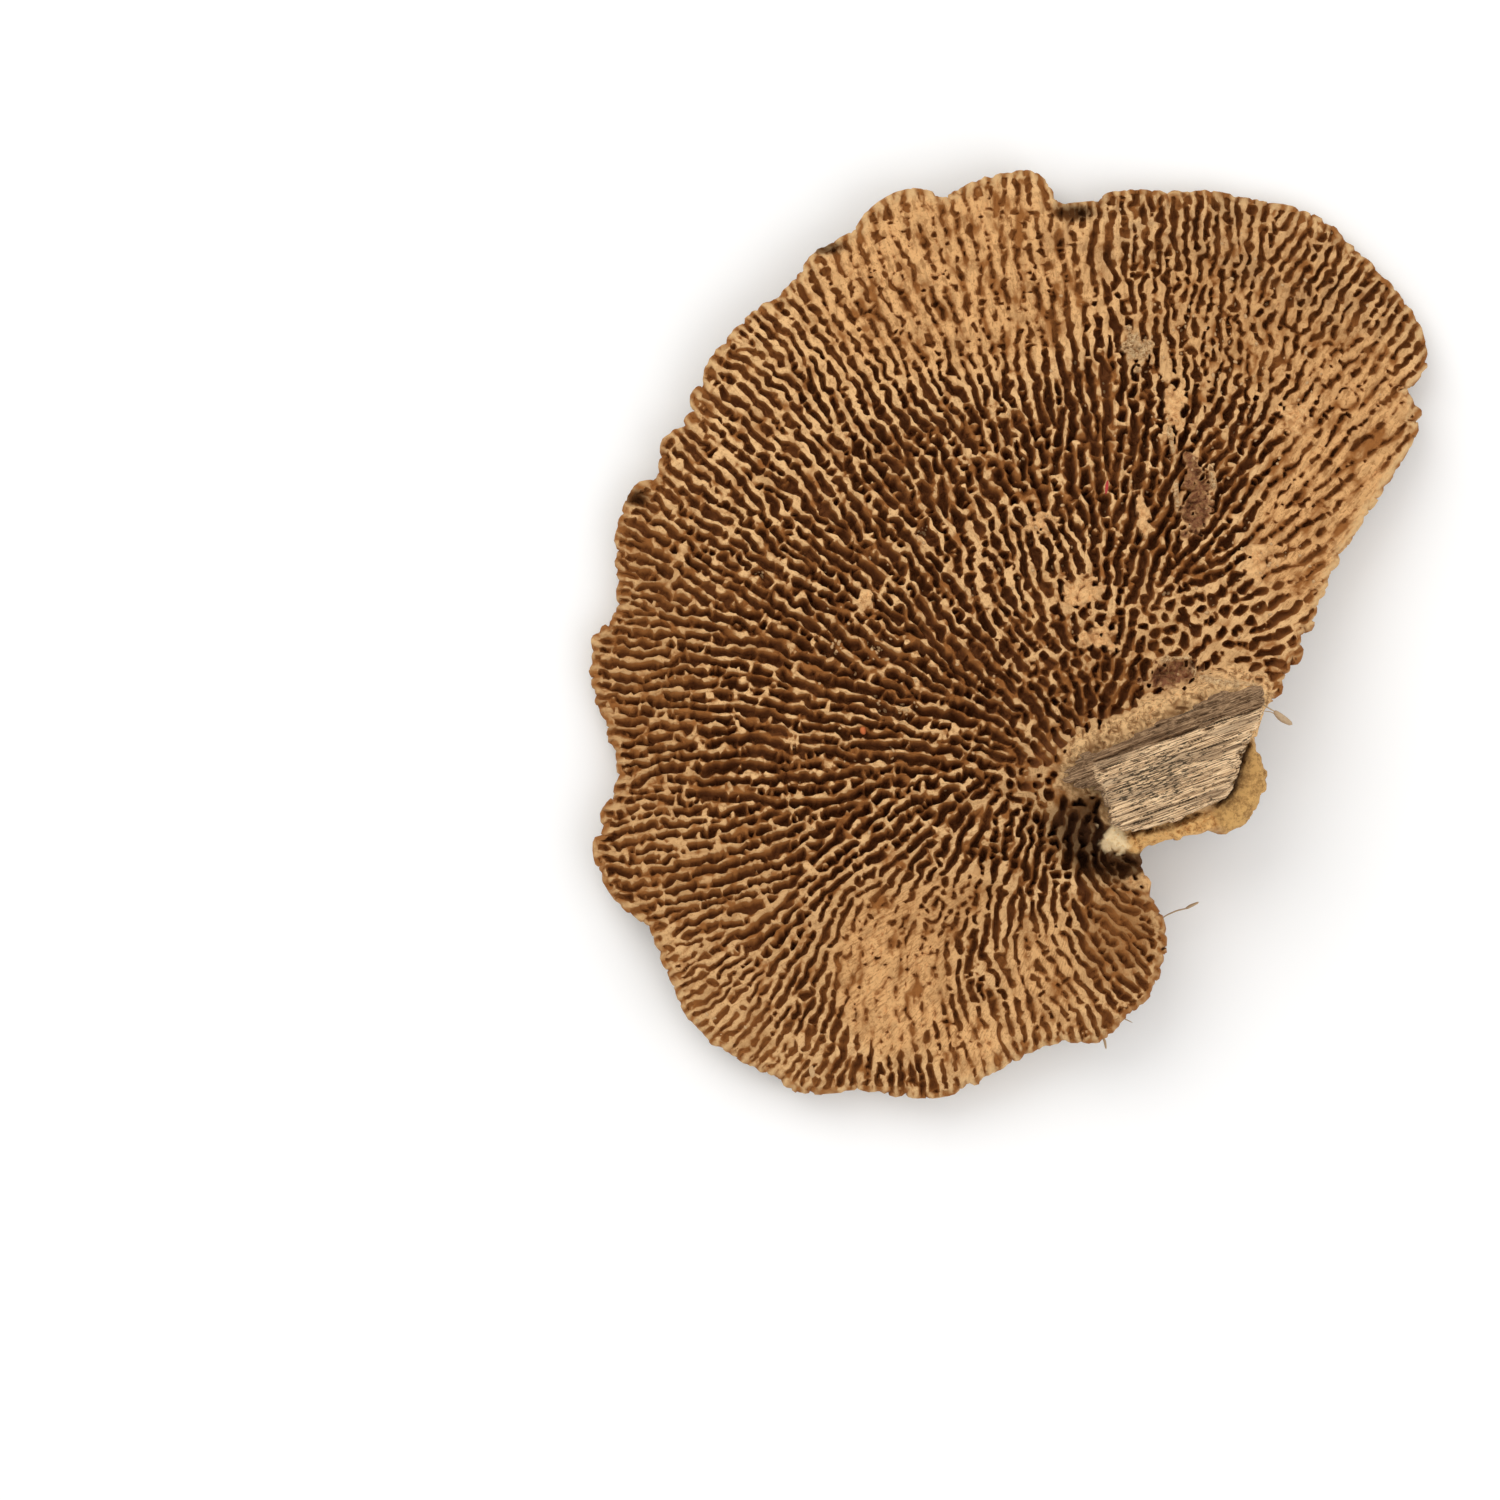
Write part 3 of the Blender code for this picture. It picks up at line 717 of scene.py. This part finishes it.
    def boss_relief(self):
        """Lumps, steps and the dark crevice round the wood, and the scars, above or below the rest."""
        x, y, noise = self.grid.x, self.grid.y, self.grid.noise
        outside = ease(0.6, -0.2, self.wood_inset)
        crumbs = 0.8 * np.abs(noise(0.8, 51)) + 0.35 * noise(2, 52) + 0.15 * noise(0.5, 61)
        pits = 0.35 * ease(0.8, 1.5, noise(0.7, 53))
        rise = self.collar * (crumbs - pits - 0.5) * outside
        velvet = 0.22 * noise(0.5, 54) + 0.55 * noise(2.2, 55) - 0.7 * ease(0.8, 1.5, noise(1.2, 59))
        rise += self.pad * (2.4 * blob(x, y, *PAD_DOME) + velvet) * outside
        cracks = ease(0.35, 0.1, np.abs(noise(1.4, 62)))
        rise += self.strip * (0.35 * noise(1.5, 56) + 0.2 * noise(0.5, 57) - 0.7 * cracks) * outside
        rise += self.knob * (0.9 + 0.45 * noise(0.9, 58) + 0.3 * noise(0.5, 60)) * outside
        rise += self.scar * (0.9 * np.abs(noise(0.6, 71)) + 0.7 * noise(1.5, 72) - 1.1)
        for place in NOTCHES:
            rise -= 2.2 * blob(x, y, *place)
        rise += self.crater * (0.8 * np.abs(noise(0.6, 73)) - 0.3)
        rise += self.fused * (0.45 * np.abs(noise(0.7, 74)) + 0.25 * noise(1.8, 75))
        return rise - 3 * self.crevice

    def under(self, x, y):
        """Places of the skin's points, with its growth zones, fibres and dimples."""
        noise = self.grid.noise
        waves = np.sin(2 * math.pi * (SKIN_ZONES * self.zone**1.6 + 0.35 * noise(9, 81)))
        dents = (0.22 * (1 + waves) + 0.12 * np.abs(noise(0.8, 82)) + 0.2 * np.abs(noise(3, 83))
                 + 0.7 * ease(1.7, 2.6, noise(1, 84)))
        height = self.grid.read(self.skin + dents * ease(0.5, 4, self.inset), x, y)
        return np.stack([x, y, height], 1)


def split_at(net, name, level):
    """Adds points where the named value crosses the level, so that edges run along that line."""
    value, corners = net[name], net["corners"]
    above = value > level
    count = above[corners].sum(axis=1)
    crossed = (count == 1) | (count == 2)
    mixed = corners[crossed]
    rows = np.arange(len(mixed))
    lone = np.argmax(above[mixed] == (count[crossed] == 1)[:, None], 1)
    p, q, r = (mixed[rows, (lone + k) % 3] for k in range(3))
    ends = np.sort(np.concatenate([np.stack([p, q], 1), np.stack([p, r], 1)]), 1)
    size = len(value)
    keys, which = np.unique(ends[:, 0] * size + ends[:, 1], return_inverse=True)
    a, b = keys // size, keys % size
    share = np.clip((level - value[a]) / (value[b] - value[a]), *SPLIT_LIMITS)
    for key in net:
        if key != "corners":
            net[key] = np.concatenate([net[key], net[key][a] + share * (net[key][b] - net[key][a])])
    net[name][size:] = level
    first, second = size + which[: len(p)], size + which[len(p) :]
    net["corners"] = np.concatenate([
        corners[~crossed], np.stack([p, first, second], 1),
        np.stack([first, q, r], 1), np.stack([first, r, second], 1)])


def net_within(grid, level, **fields):
    """The grid's triangles where the field named inset is above the level, cut along it."""
    numbers = np.arange(grid.x.size).reshape(grid.x.shape)
    a, b, c, d = numbers[:-1, :-1], numbers[:-1, 1:], numbers[1:, 1:], numbers[1:, :-1]
    even = np.add.outer(np.arange(a.shape[0]), np.arange(a.shape[1])) % 2 == 0
    halves = ((a, b, c, even), (a, c, d, even), (a, b, d, ~even), (b, c, d, ~even))
    corners = np.concatenate([np.stack([p[kept], q[kept], r[kept]], 1) for p, q, r, kept in halves])
    near = fields["inset"].ravel()[corners].max(axis=1) > level
    net = {"x": grid.x.ravel(), "y": grid.y.ravel(), "corners": corners[near]}
    net.update({name: field.ravel() for name, field in fields.items()})
    split_at(net, "inset", level)
    corners = net["corners"]
    kept = corners[(net["inset"][corners] >= level).all(axis=1)]
    used, renumbered = np.unique(kept, return_inverse=True)
    for key in net:
        net[key] = renumbered.reshape(kept.shape) if key == "corners" else net[key][used]
    return net


def side_points(loop, net, top, under, grid, inset, level):
    """Rows of points round the rim, from the gill side's edge over the waist to the skin's edge."""
    x, y = net["x"][loop], net["y"][loop]
    gy, gx = np.gradient(grid.blurred(inset, 0.5), grid.step)
    ox, oy = -grid.read(gx, x, y), -grid.read(gy, x, y)
    length = np.maximum(np.hypot(ox, oy), 1e-6)
    ox, oy = ox / length, oy / length
    high, low = top[loop][:, 2], under[loop][:, 2]
    waist = low + WAIST_SHARE * (high - low)
    rows = []
    for k in range(1, SIDE_ROWS):
        turn = math.pi * k / SIDE_ROWS
        out = level * math.sin(turn) ** SIDE_ROUNDNESS
        lift = math.copysign(abs(math.cos(turn)) ** SIDE_ROUNDNESS, math.cos(turn))
        height = waist + lift * np.where(lift > 0, high - waist, waist - low)
        rows.append(np.stack([x + ox * out, y + oy * out, height], axis=1))
    return rows


def closed_shell(net, under_corners, top, under, grid, inset, level):
    """One closed net: the upper side, the lower side and the rim's rows of points between them.

    The upper edge may have points of its own, numbered past the lower side's. Under such a point
    the lower edge keeps the one before it.
    """
    own_count = under_corners.max() + 1
    points = [top, under[:own_count]]
    corners = [net["corners"], under_corners[:, ::-1] + len(top)]
    start = len(top) + own_count
    for loop in boundary_loops(net["corners"]):
        numbers = [loop]
        for row in side_points(loop, net, top, under, grid, inset, level):
            points.append(row)
            numbers.append(start + np.arange(len(loop)))
            start += len(loop)
        own = np.where(loop < own_count, np.arange(len(loop)), 0)
        numbers.append(loop[np.maximum.accumulate(own)] + len(top))
        for a, b in zip(numbers, numbers[1:]):
            c, d = np.roll(b, -1), np.roll(a, -1)
            corners += [np.stack([a, b, c], 1)[b != c], np.stack([a, c, d], 1)]
    return np.concatenate(points), np.concatenate(corners)


def new_object(name, data):
    made = bpy.data.objects.new(name, data)
    bpy.context.scene.collection.objects.link(made)
    return made


def mesh_object(name, points, corners, material):
    """A smooth piece of these points, in millimetres, and triangles."""
    mesh = bpy.data.meshes.new(name)
    mesh.vertices.add(len(points))
    mesh.vertices.foreach_set("co", (points * MM).ravel())
    mesh.loops.add(corners.size)
    mesh.loops.foreach_set("vertex_index", corners.ravel())
    mesh.polygons.add(len(corners))
    mesh.polygons.foreach_set("loop_start", np.arange(0, corners.size, 3))
    mesh.update(calc_edges=True)
    mesh.shade_smooth()
    mesh.materials.append(material)
    return new_object(name, mesh)


def thinned(piece, triangles, lowest, highest):
    """Brings the piece down to about this many triangles, into the solid's box, and sharp at its folds."""
    count = len(piece.data.polygons)
    if count > triangles:
        modifier = piece.modifiers.new("thin", "DECIMATE")
        modifier.ratio = triangles / count
        graph = bpy.context.evaluated_depsgraph_get()
        mesh = bpy.data.meshes.new_from_object(piece.evaluated_get(graph))
        piece.modifiers.clear()
        heavy, piece.data = piece.data, mesh
        bpy.data.meshes.remove(heavy)
        piece.data.name = piece.name
    places = np.clip(places_of(piece), lowest + 0.001, highest - 0.001)
    piece.data.vertices.foreach_set("co", (places * MM).ravel())
    piece.data.update()
    piece.data.set_sharp_from_angle(angle=SHARP_ANGLE)


def store(piece, **values):
    """Keeps values of the piece's points for its material, by name."""
    for name, value in values.items():
        layer = piece.data.attributes.new(name, "FLOAT", "POINT")
        layer.data.foreach_set("value", value.astype(np.float32))


def build_cap():
    """The whole fungus as one closed mesh."""
    cap = Cap()
    grid = cap.grid
    net = net_within(grid, RIM_INSET, inset=cap.inset, maze=cap.maze)
    under_corners = net["corners"]
    split_at(net, "maze", EDGE_LEVEL)
    split_at(net, "maze", FLOOR_LEVEL)
    under = cap.under(net["x"], net["y"])
    top = cap.top(net["x"], net["y"], net["maze"])
    points, corners = closed_shell(net, under_corners, top, under, grid, cap.inset, RIM_INSET)
    points = np.clip(points, cap.lowest, cap.highest)
    piece = mesh_object("fungus", points, corners, flesh_material())
    thinned(piece, CAP_TRIANGLES, cap.lowest, cap.highest)
    x, y, z = places_of(piece).T

    def here(field):
        return grid.read(field, x, y)

    envelope, skin, inset = here(cap.envelope), here(cap.skin), here(cap.inset)
    waist = skin + np.where(inset < RIM_INSET + 0.3, 0.5 * WAIST_SHARE * (envelope - skin), SKIN_REACH)
    # How deep each point lies below the edges and the boss's lumps. The material darkens with it, partly for
    # the gaps' own browner flesh and partly as painted shade.
    depth = np.clip(envelope + here(grid.blurred(cap.relief, 1)) - z, 0, None)
    store(piece, depth=depth * ease(RIM_INSET, RIM_INSET + 0.4, inset), skin=ease(0.4, -0.4, z - waist),
          walls=here(cap.look.walls), brown=here(cap.look.brown),
          **{name: here(getattr(cap, name)) for name in PAINTED})
    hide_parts("cap")
    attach(piece, "root")
    return piece


def build_wood():
    """The splinter as one closed mesh: a split grey face, a rough brown band and tip."""
    lowest, highest = (np.array(corner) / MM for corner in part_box("wood_remnant"))
    grid = Grid(lowest[:2] - 2, highest[:2] + 2, WOOD_STEP)
    noise, turn = grid.noise, math.radians(GRAIN_DEG)
    u, v = turned(grid.x - GRAIN_CENTRE[0], grid.y - GRAIN_CENTRE[1], turn)
    fray = 0.5 * grid.streaks(5, 0.35, turn, 61) + 0.35 * noise(0.9, 62)
    at_end = ease(0.45, 0.9, np.abs(u) / 20)
    ring = smooth_ring(Solid(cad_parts["wood_remnant"]).outline(GRAIN_CENTRE), 240)
    inset = inside_distance(grid.x, grid.y, ring)
    inset = inset - np.clip(fray * (0.35 + 0.65 * at_end), -0.25, 1.6)
    inset = grid.mainland(inset, WOOD_INSET, GRAIN_CENTRE)
    band = ease(4, 4.6, v + 0.5 * grid.streaks(4, 0.8, turn, 63))
    rough = np.maximum(band, ease(-11, -14, u + 1.2 * noise(1.5, 64)))
    splits = ease(1.7, 2.5, grid.streaks(5, 0.24, turn, 65))
    smooth = 0.14 * grid.streaks(6, 0.28, turn, 66) + 0.22 * grid.streaks(9, 1.1, turn, 67) - 0.6 * splits
    lumpy = 0.25 * noise(0.9, 68) + 0.45 * grid.streaks(5, 0.5, turn, 69)
    height = (highest[2] - 1.3 - 1.2 * band - 1.6 * ease(-11, -18, u)
              - 0.9 * ease(-3, -9, v) + smooth * (1 - 0.5 * rough) + lumpy * rough)
    net = net_within(grid, WOOD_INSET, inset=inset)
    x, y = net["x"], net["y"]
    drop = 0.5 * ease(1.2, WOOD_INSET, net["inset"])
    top = np.stack([x, y, grid.read(height, x, y) - drop], 1)
    under = np.stack([x, y, np.full(len(x), lowest[2])], 1)
    points, corners = closed_shell(net, net["corners"], top, under, grid, inset, WOOD_INSET)
    piece = mesh_object("wood_splinter", points, corners, wood_material())
    thinned(piece, WOOD_TRIANGLES, lowest, highest)
    x, y, _ = places_of(piece).T
    specked = blob(grid.x, grid.y, *SPECKED)
    store(piece, rough=grid.read(rough, x, y), splits=grid.read(splits, x, y),
          specked=grid.read(specked, x, y))
    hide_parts("wood_remnant")
    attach(piece, "root")


def lump_points(middle, radii, degrees, seed, rings=9, sides=14):
    """A small closed lump with a rough surface: its points and corners."""
    dice = np.random.default_rng(seed)
    points = [(0, 0, 1)]
    for tilt in math.pi * np.arange(1, rings) / rings:
        for turn in 2 * math.pi * np.arange(sides) / sides:
            out = math.sin(tilt)
            points.append((out * math.cos(turn), out * math.sin(turn), math.cos(tilt)))
    points = np.array([*points, (0, 0, -1)])
    swell = [1 + 0.16 * space_noise.noise(Vector(place) * 1.7 + Vector((seed, 0, 0))) for place in points]
    points = points * np.array(swell)[:, None] * radii
    points = points + 0.02 * dice.standard_normal(points.shape) * min(radii)
    points[:, :2] = np.stack(turned(points[:, 0], points[:, 1], -math.radians(degrees)), 1)
    return points + middle, tube_corners(rings - 1, sides)


def tube_corners(rows, sides):
    """Triangles over rows of points round a tube, closed by one point before and one after."""
    corners = []
    last = 1 + rows * sides
    for j in range(sides):
        k = (j + 1) % sides
        corners.append((0, 1 + j, 1 + k))
        for row in range(rows - 1):
            a, b = 1 + row * sides + j, 1 + row * sides + k
            corners += [(a, a + sides, b + sides), (a, b + sides, b)]
        corners.append((last - sides + j, last, last - sides + k))
    return np.array(corners)


def thread_points(path, thickness, sides=7):
    """A thin closed thread along a path, thickest in its middle."""
    path = np.array(path, float)
    count = 4 * len(path)
    marks = np.linspace(0, len(path) - 1, count)
    places = np.stack([np.interp(marks, np.arange(len(path)), path[:, k]) for k in range(3)], 1)
    places[1:-1] = (places[:-2] + 2 * places[1:-1] + places[2:]) / 4
    ways = np.gradient(places, axis=0)
    ways /= np.linalg.norm(ways, axis=1)[:, None]
    aside = np.cross(ways, (0, 0, 1))
    aside /= np.linalg.norm(aside, axis=1)[:, None]
    over = np.cross(aside, ways)
    points = [places[0]]
    for i in range(1, count - 1):
        swell = thickness * (0.45 + 0.55 * math.sin(math.pi * i / (count - 1)))
        for turn in 2 * math.pi * np.arange(sides) / sides:
            points.append(places[i] + swell * (aside[i] * math.cos(turn) + over[i] * math.sin(turn)))
    points.append(places[-1])
    return np.array(points), tube_corners(count - 2, sides)


def lump_on(surface, place, lift, *shape):
    return lump_points((*place, surface.height(*place) + lift), *shape)


def small_piece(name, parts, first, second):
    """One piece of several closed nets, in two tones."""
    starts = np.cumsum([0] + [len(points) for points, _ in parts])
    points = np.concatenate([points for points, _ in parts])
    corners = np.concatenate([corners + start for (_, corners), start in zip(parts, starts)])
    piece = mesh_object(name, points, corners, plain_material(name, first, second))
    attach(piece, "root")


def grit_parts(surface):
    """Pale crumbs and grit caught in the gaps and on the walls, in loose heaps."""
    dice = np.random.default_rng(31)
    parts = []
    for (cx, cy), reach, count in GRIT_HEAPS:
        for _ in range(count):
            x, y = cx + reach * dice.standard_normal(), cy + reach * dice.standard_normal()
            size = dice.uniform(0.16, 0.38)
            floor = surface.height(x, y)
            if math.isfinite(floor):
                radii = (size * dice.uniform(1, 1.7), size, size * 0.8)
                middle = (x, y, floor + 0.35 * size)
                turn, seed = dice.uniform(0, 180), int(dice.integers(1000))
                parts.append(lump_points(middle, radii, turn, seed, 5, 7))
    return parts


def build_small_pieces(cap_piece):
    """A seed, flecks and grit on the gills, and loose fibres at the edges."""
    surface = Solid(cap_piece)
    small_piece("orange_seed", [lump_on(surface, *SEED)], (0.62, 0.16, 0.03), (0.34, 0.07, 0.015))
    small_piece("red_fleck", [lump_on(surface, *RED_FLECK)], (0.5, 0.03, 0.03), (0.3, 0.02, 0.02))
    small_piece("grit", [lump_on(surface, *WHITE_CHIP)] + grit_parts(surface), (0.58, 0.37, 0.18),
                (0.36, 0.2, 0.08))
    small_piece("loose_fibres", [thread_points(path, width) for path, width in FIBRES],
                (0.55, 0.4, 0.24), (0.28, 0.17, 0.09))


class Paint:
    """A material's nodes: each method adds nodes and gives an output of the last."""

    def __init__(self, name):
        self.material = bpy.data.materials.new(name)
        self.material.use_nodes = True
        self.tree = self.material.node_tree
        self.place = self.node("TexCoord", "Object")

    def put(self, sockets, values):
        """Sets or links inputs, by name or number."""
        for name, value in values.items():
            if isinstance(value, bpy.types.NodeSocket):
                self.tree.links.new(value, sockets[name])
            else:
                sockets[name].default_value = value

    def node(self, kind, output, values=None, **settings):
        node = self.tree.nodes.new("ShaderNode" + kind)
        for name, setting in settings.items():
            setattr(node, name, setting)
        self.put(node.inputs, values or {})
        return node.outputs[output]

    def finish(self, colour, roughness, specular=None, normal=None):
        """The material, with these set or linked to its shader."""
        values = {"Base Color": colour, "Roughness": roughness}
        if specular:
            values["Specular IOR Level"] = specular
        if normal:
            values["Normal"] = normal
        self.put(self.tree.nodes["Principled BSDF"].inputs, values)
        return self.material

    def attribute(self, name):
        return self.node("Attribute", "Fac", attribute_name=name)

    def noise(self, size, detail=3, roughness=0.6, stretch=None, degrees=0):
        """Noise with lumps of this size in millimetres, about 0.5 in the middle."""
        place = self.place
        if stretch:
            place = self.node("Mapping", "Vector", {"Vector": place, "Scale": stretch,
                                                    "Rotation": (0, 0, math.radians(degrees))},
                              vector_type="TEXTURE")
        return self.node("TexNoise", "Fac", {"Vector": place, "Scale": 1 / (size * MM), "Detail": detail,
                                             "Roughness": roughness})

    def fan(self, width, length):
        """Noise in fibres that fan out from the hub, this wide half-way out and this long."""
        dx, dy = (self.math("SUBTRACT", self.node("SeparateXYZ", axis, {0: self.place}), HUB[axis] * MM)
                  for axis in (0, 1))
        square = self.math("ADD", self.times(dx, dx), self.times(dy, dy))
        across = self.times(self.math("ARCTAN2", dy, dx), FAN_RADIUS / width)
        along = self.times(self.math("SQRT", square, 0), 1 / (length * MM))
        place = self.node("CombineXYZ", 0, {"X": across, "Y": along})
        return self.node("TexNoise", "Fac", {"Vector": place, "Scale": 1, "Detail": 3})

    def ramp(self, value, *stops):
        """Colours at rising places between 0 and 1."""
        node = self.tree.nodes.new("ShaderNodeValToRGB")
        elements = node.color_ramp.elements
        while len(elements) < len(stops):
            elements.new(0.5)
        for element, (place, colour) in zip(elements, stops):
            element.position = place
            element.color = (*colour, 1)
        self.put(node.inputs, {"Fac": value})
        return node.outputs["Color"]

    def span(self, value, low, high, out_low=0, out_high=1):
        """A number moved from one range to another, smoothly, and held at its ends."""
        return self.node("MapRange", "Result", {"Value": value, "From Min": low, "From Max": high,
                                                "To Min": out_low, "To Max": out_high},
                         interpolation_type="SMOOTHSTEP")

    def mix(self, share, first, second, blend="MIX"):
        first, second = (value if isinstance(value, bpy.types.NodeSocket) else (*value, 1)
                         for value in (first, second))
        return self.node("Mix", "Result", {"Factor": share, "A": first, "B": second},
                         data_type="RGBA", blend_type=blend)

    def specks(self, size, low, high, dark, pale, roughness=0.75):
        """Two tones in ragged specks."""
        return self.mix(self.span(self.noise(size, 5, roughness), low, high), dark, pale)

    def math(self, operation, first, second):
        return self.node("Math", 0, {0: first, 1: second}, operation=operation)

    def times(self, first, second):
        return self.math("MULTIPLY", first, second)

    def bump(self, height, distance, strength, below=None):
        values = {"Height": height, "Distance": distance * MM, "Strength": strength}
        if below:
            values["Normal"] = below
        return self.node("Bump", "Normal", values)


def plain_material(name, first, second):
    """Two tones in fine noise, matte."""
    paint = Paint(name)
    colour = paint.mix(paint.noise(0.5, 4), first, second)
    return paint.finish(colour, 0.8, normal=paint.bump(paint.noise(0.2), 0.1, 0.7))


def gill_colour(paint, mottle, fine, fibres):
    """Pale thin edges, tan plates, brown sides and dark gaps."""
    mix, span, times, get = paint.mix, paint.span, paint.times, paint.attribute
    plates = span(get("walls"), 0.4, 0.62)
    depth = times(get("depth"), paint.math("SUBTRACT", 1, times(plates, 0.35)))
    colour = mix(plates, EDGE_PALE, EDGE_TAN)
    rim = times(span(get("inset"), 2.6, 0.9), span(fine, 0.2, 0.6))
    for share, tone in (
            (span(mottle, 0.45, 0.72, 0, 0.6), EDGE_DULL), (span(fibres, 0.48, 0.7, 0, 0.5), EDGE_DULL),
            (times(plates, span(paint.fan(0.55, 2.2), 0.53, 0.62, 0, 0.8)), RUT_BROWN),
            (span(fine, 0.52, 0.66, 0, 0.6), EDGE_BROWN), (get("brown"), EDGE_BROWN), (rim, MARGIN_CREAM),
            (times(get("rut"), span(get("inset"), 1.8, 1.2)), WALL_BROWN),
            # Browner, then darker with depth: partly the gaps' own browner flesh, partly painted shade deep
            # in the gaps.
            (span(depth, 0.12, 0.6), WALL_BROWN), (span(depth, 0.8, 2.2), GAP_BROWN),
            (span(depth, 1.8, 3.4), GAP_DARK)):
        colour = mix(share, colour, tone)
    colour = mix(get("weather"), colour, WEATHER_TINT, "MULTIPLY")
    # Painted shade beside the wood, under the knob and in the notches.
    return mix(get("shade"), colour, SHADE_TINT, "MULTIPLY")


def flesh_material():
    """Gills, the boss's own tones, and the zoned skin."""
    paint = Paint("fungus flesh")
    mix, span, get = paint.mix, paint.span, paint.attribute
    mottle, fine, fibres = paint.noise(5, 4), paint.noise(0.6, 4, 0.7), paint.fan(0.45, 5)
    colour = gill_colour(paint, mottle, fine, fibres)
    crumbly = paint.specks(1.3, 0.36, 0.56, COLLAR_BROWN, COLLAR_TAN)
    # Painted shade in the collar's pits: darker where they lie deeper.
    crumbly = mix(span(get("depth"), 0.3, 0.9), crumbly, COLLAR_BROWN)
    for name, tone in (("fused", mix(0.5, crumbly, EDGE_TAN)), ("collar", crumbly),
                       ("strip", paint.specks(1.2, 0.34, 0.54, STRIP_BROWN, STRIP_ORANGE)),
                       ("pad", paint.specks(1.6, 0.36, 0.56, PAD_BROWN, PAD_OCHRE)),
                       ("knob", mix(span(fine, 0.5, 0.75), KNOB_CREAM, STRIP_ORANGE)),
                       ("scar", paint.specks(0.9, 0.45, 0.62, SCAR_BROWN, EDGE_DULL, 0.8)),
                       ("crater", mix(span(fine, 0.35, 0.6), EDGE_BROWN, CHIP_CREAM)),
                       # Last, the painted shade of the crevice beside the wood.
                       ("crevice", CREVICE_SHADE)):
        colour = mix(get(name), colour, tone)
    bands = paint.math("ADD", get("zone"), paint.times(mottle, 0.16))
    skin = mix(span(fibres, 0.35, 0.7, 0, 0.6), paint.ramp(bands, *SKIN_BANDS), SKIN_BROWN)
    grain = paint.bump(paint.noise(0.35, 4, 0.75), 0.25, 1)
    grain = paint.bump(fibres, 0.3, 0.8, grain)
    return paint.finish(mix(get("skin"), colour, skin), span(fine, 0.3, 0.7, 0.75, 0.95), 0.1,
                        paint.bump(paint.noise(1.2, 4), 0.5, 0.8, grain))


def wood_material():
    """Split wood: grey-tan streaks and dark fibres, browner and rougher at its band and tip."""
    paint = Paint("weathered wood")
    mix, span, get = paint.mix, paint.span, paint.attribute
    grain = paint.noise(0.5, 5, 0.66, (12, 0.45, 1), GRAIN_DEG)
    broad = paint.noise(2.2, 3, 0.6, (7, 1, 1), GRAIN_DEG)
    specks = paint.noise(0.5, 3, 0.6, (3, 0.6, 1), GRAIN_DEG)
    specks = paint.math("ADD", specks, paint.times(get("specked"), 0.08))
    colour = mix(span(broad, 0.46, 0.62, 0, 0.55), paint.ramp(grain, *WOOD_STREAKS), WOOD_GREY)
    colour = mix(span(specks, 0.565, 0.62, 0, 0.95), colour, SPLIT_DARK)
    colour = mix(span(get("rough"), 0.2, 0.9, 0, 0.85), colour, paint.ramp(grain, *BARK_STREAKS))
    colour = mix(span(get("splits"), 0.1, 0.8, 0, 0.9), colour, SPLIT_DARK)
    return paint.finish(colour, 0.9, 0.2, paint.bump(grain, 0.4, 0.8))


def add_camera():
    data = bpy.data.cameras.new("camera")
    data.sensor_width = SENSOR
    data.lens = SENSOR * CAMERA_HEIGHT / VIEW_WIDTH
    bpy.context.scene.camera = new_object("camera", data)
    bpy.context.scene.camera.location = Vector((*VIEW_CENTRE, GILL_PLANE + CAMERA_HEIGHT)) * MM


def add_area(name, place, size, power, colour):
    data = bpy.data.lights.new(name, "AREA")
    data.shape, data.size, data.energy, data.color = "DISK", size, power, colour
    light = new_object(name, data)
    light.location = place
    light.rotation_euler = (-Vector(place)).to_track_quat("-Z", "Y").to_euler()


def add_studio():
    """A pale floor and soft light, the strongest from the upper left."""
    bpy.ops.mesh.primitive_plane_add(size=4, location=(0, 0, 0))
    floor = bpy.context.object
    floor.name = "floor"
    paint = Paint("pale floor")
    cloud = paint.mix(paint.noise(90, 2), (0.86, 0.86, 0.86), (0.89, 0.89, 0.885))
    floor.data.materials.append(paint.finish(cloud, 0.9))
    add_area("key", (-0.6, 0.9, 1.3), 1.4, 10.5, (1, 0.985, 0.96))
    add_area("fill", (1, -0.6, 1.2), 1.5, 6, (0.98, 0.985, 1))
    world = bpy.data.worlds.new("studio")
    world.use_nodes = True
    world.node_tree.nodes["Background"].inputs["Color"].default_value = (1, 1, 1, 1)
    world.node_tree.nodes["Background"].inputs["Strength"].default_value = 0.88
    bpy.context.scene.world = world


def main():
    add_camera()
    cap_piece = build_cap()
    build_wood()
    build_small_pieces(cap_piece)
    add_studio()
    bpy.context.scene.view_settings.view_transform = "Standard"


main()
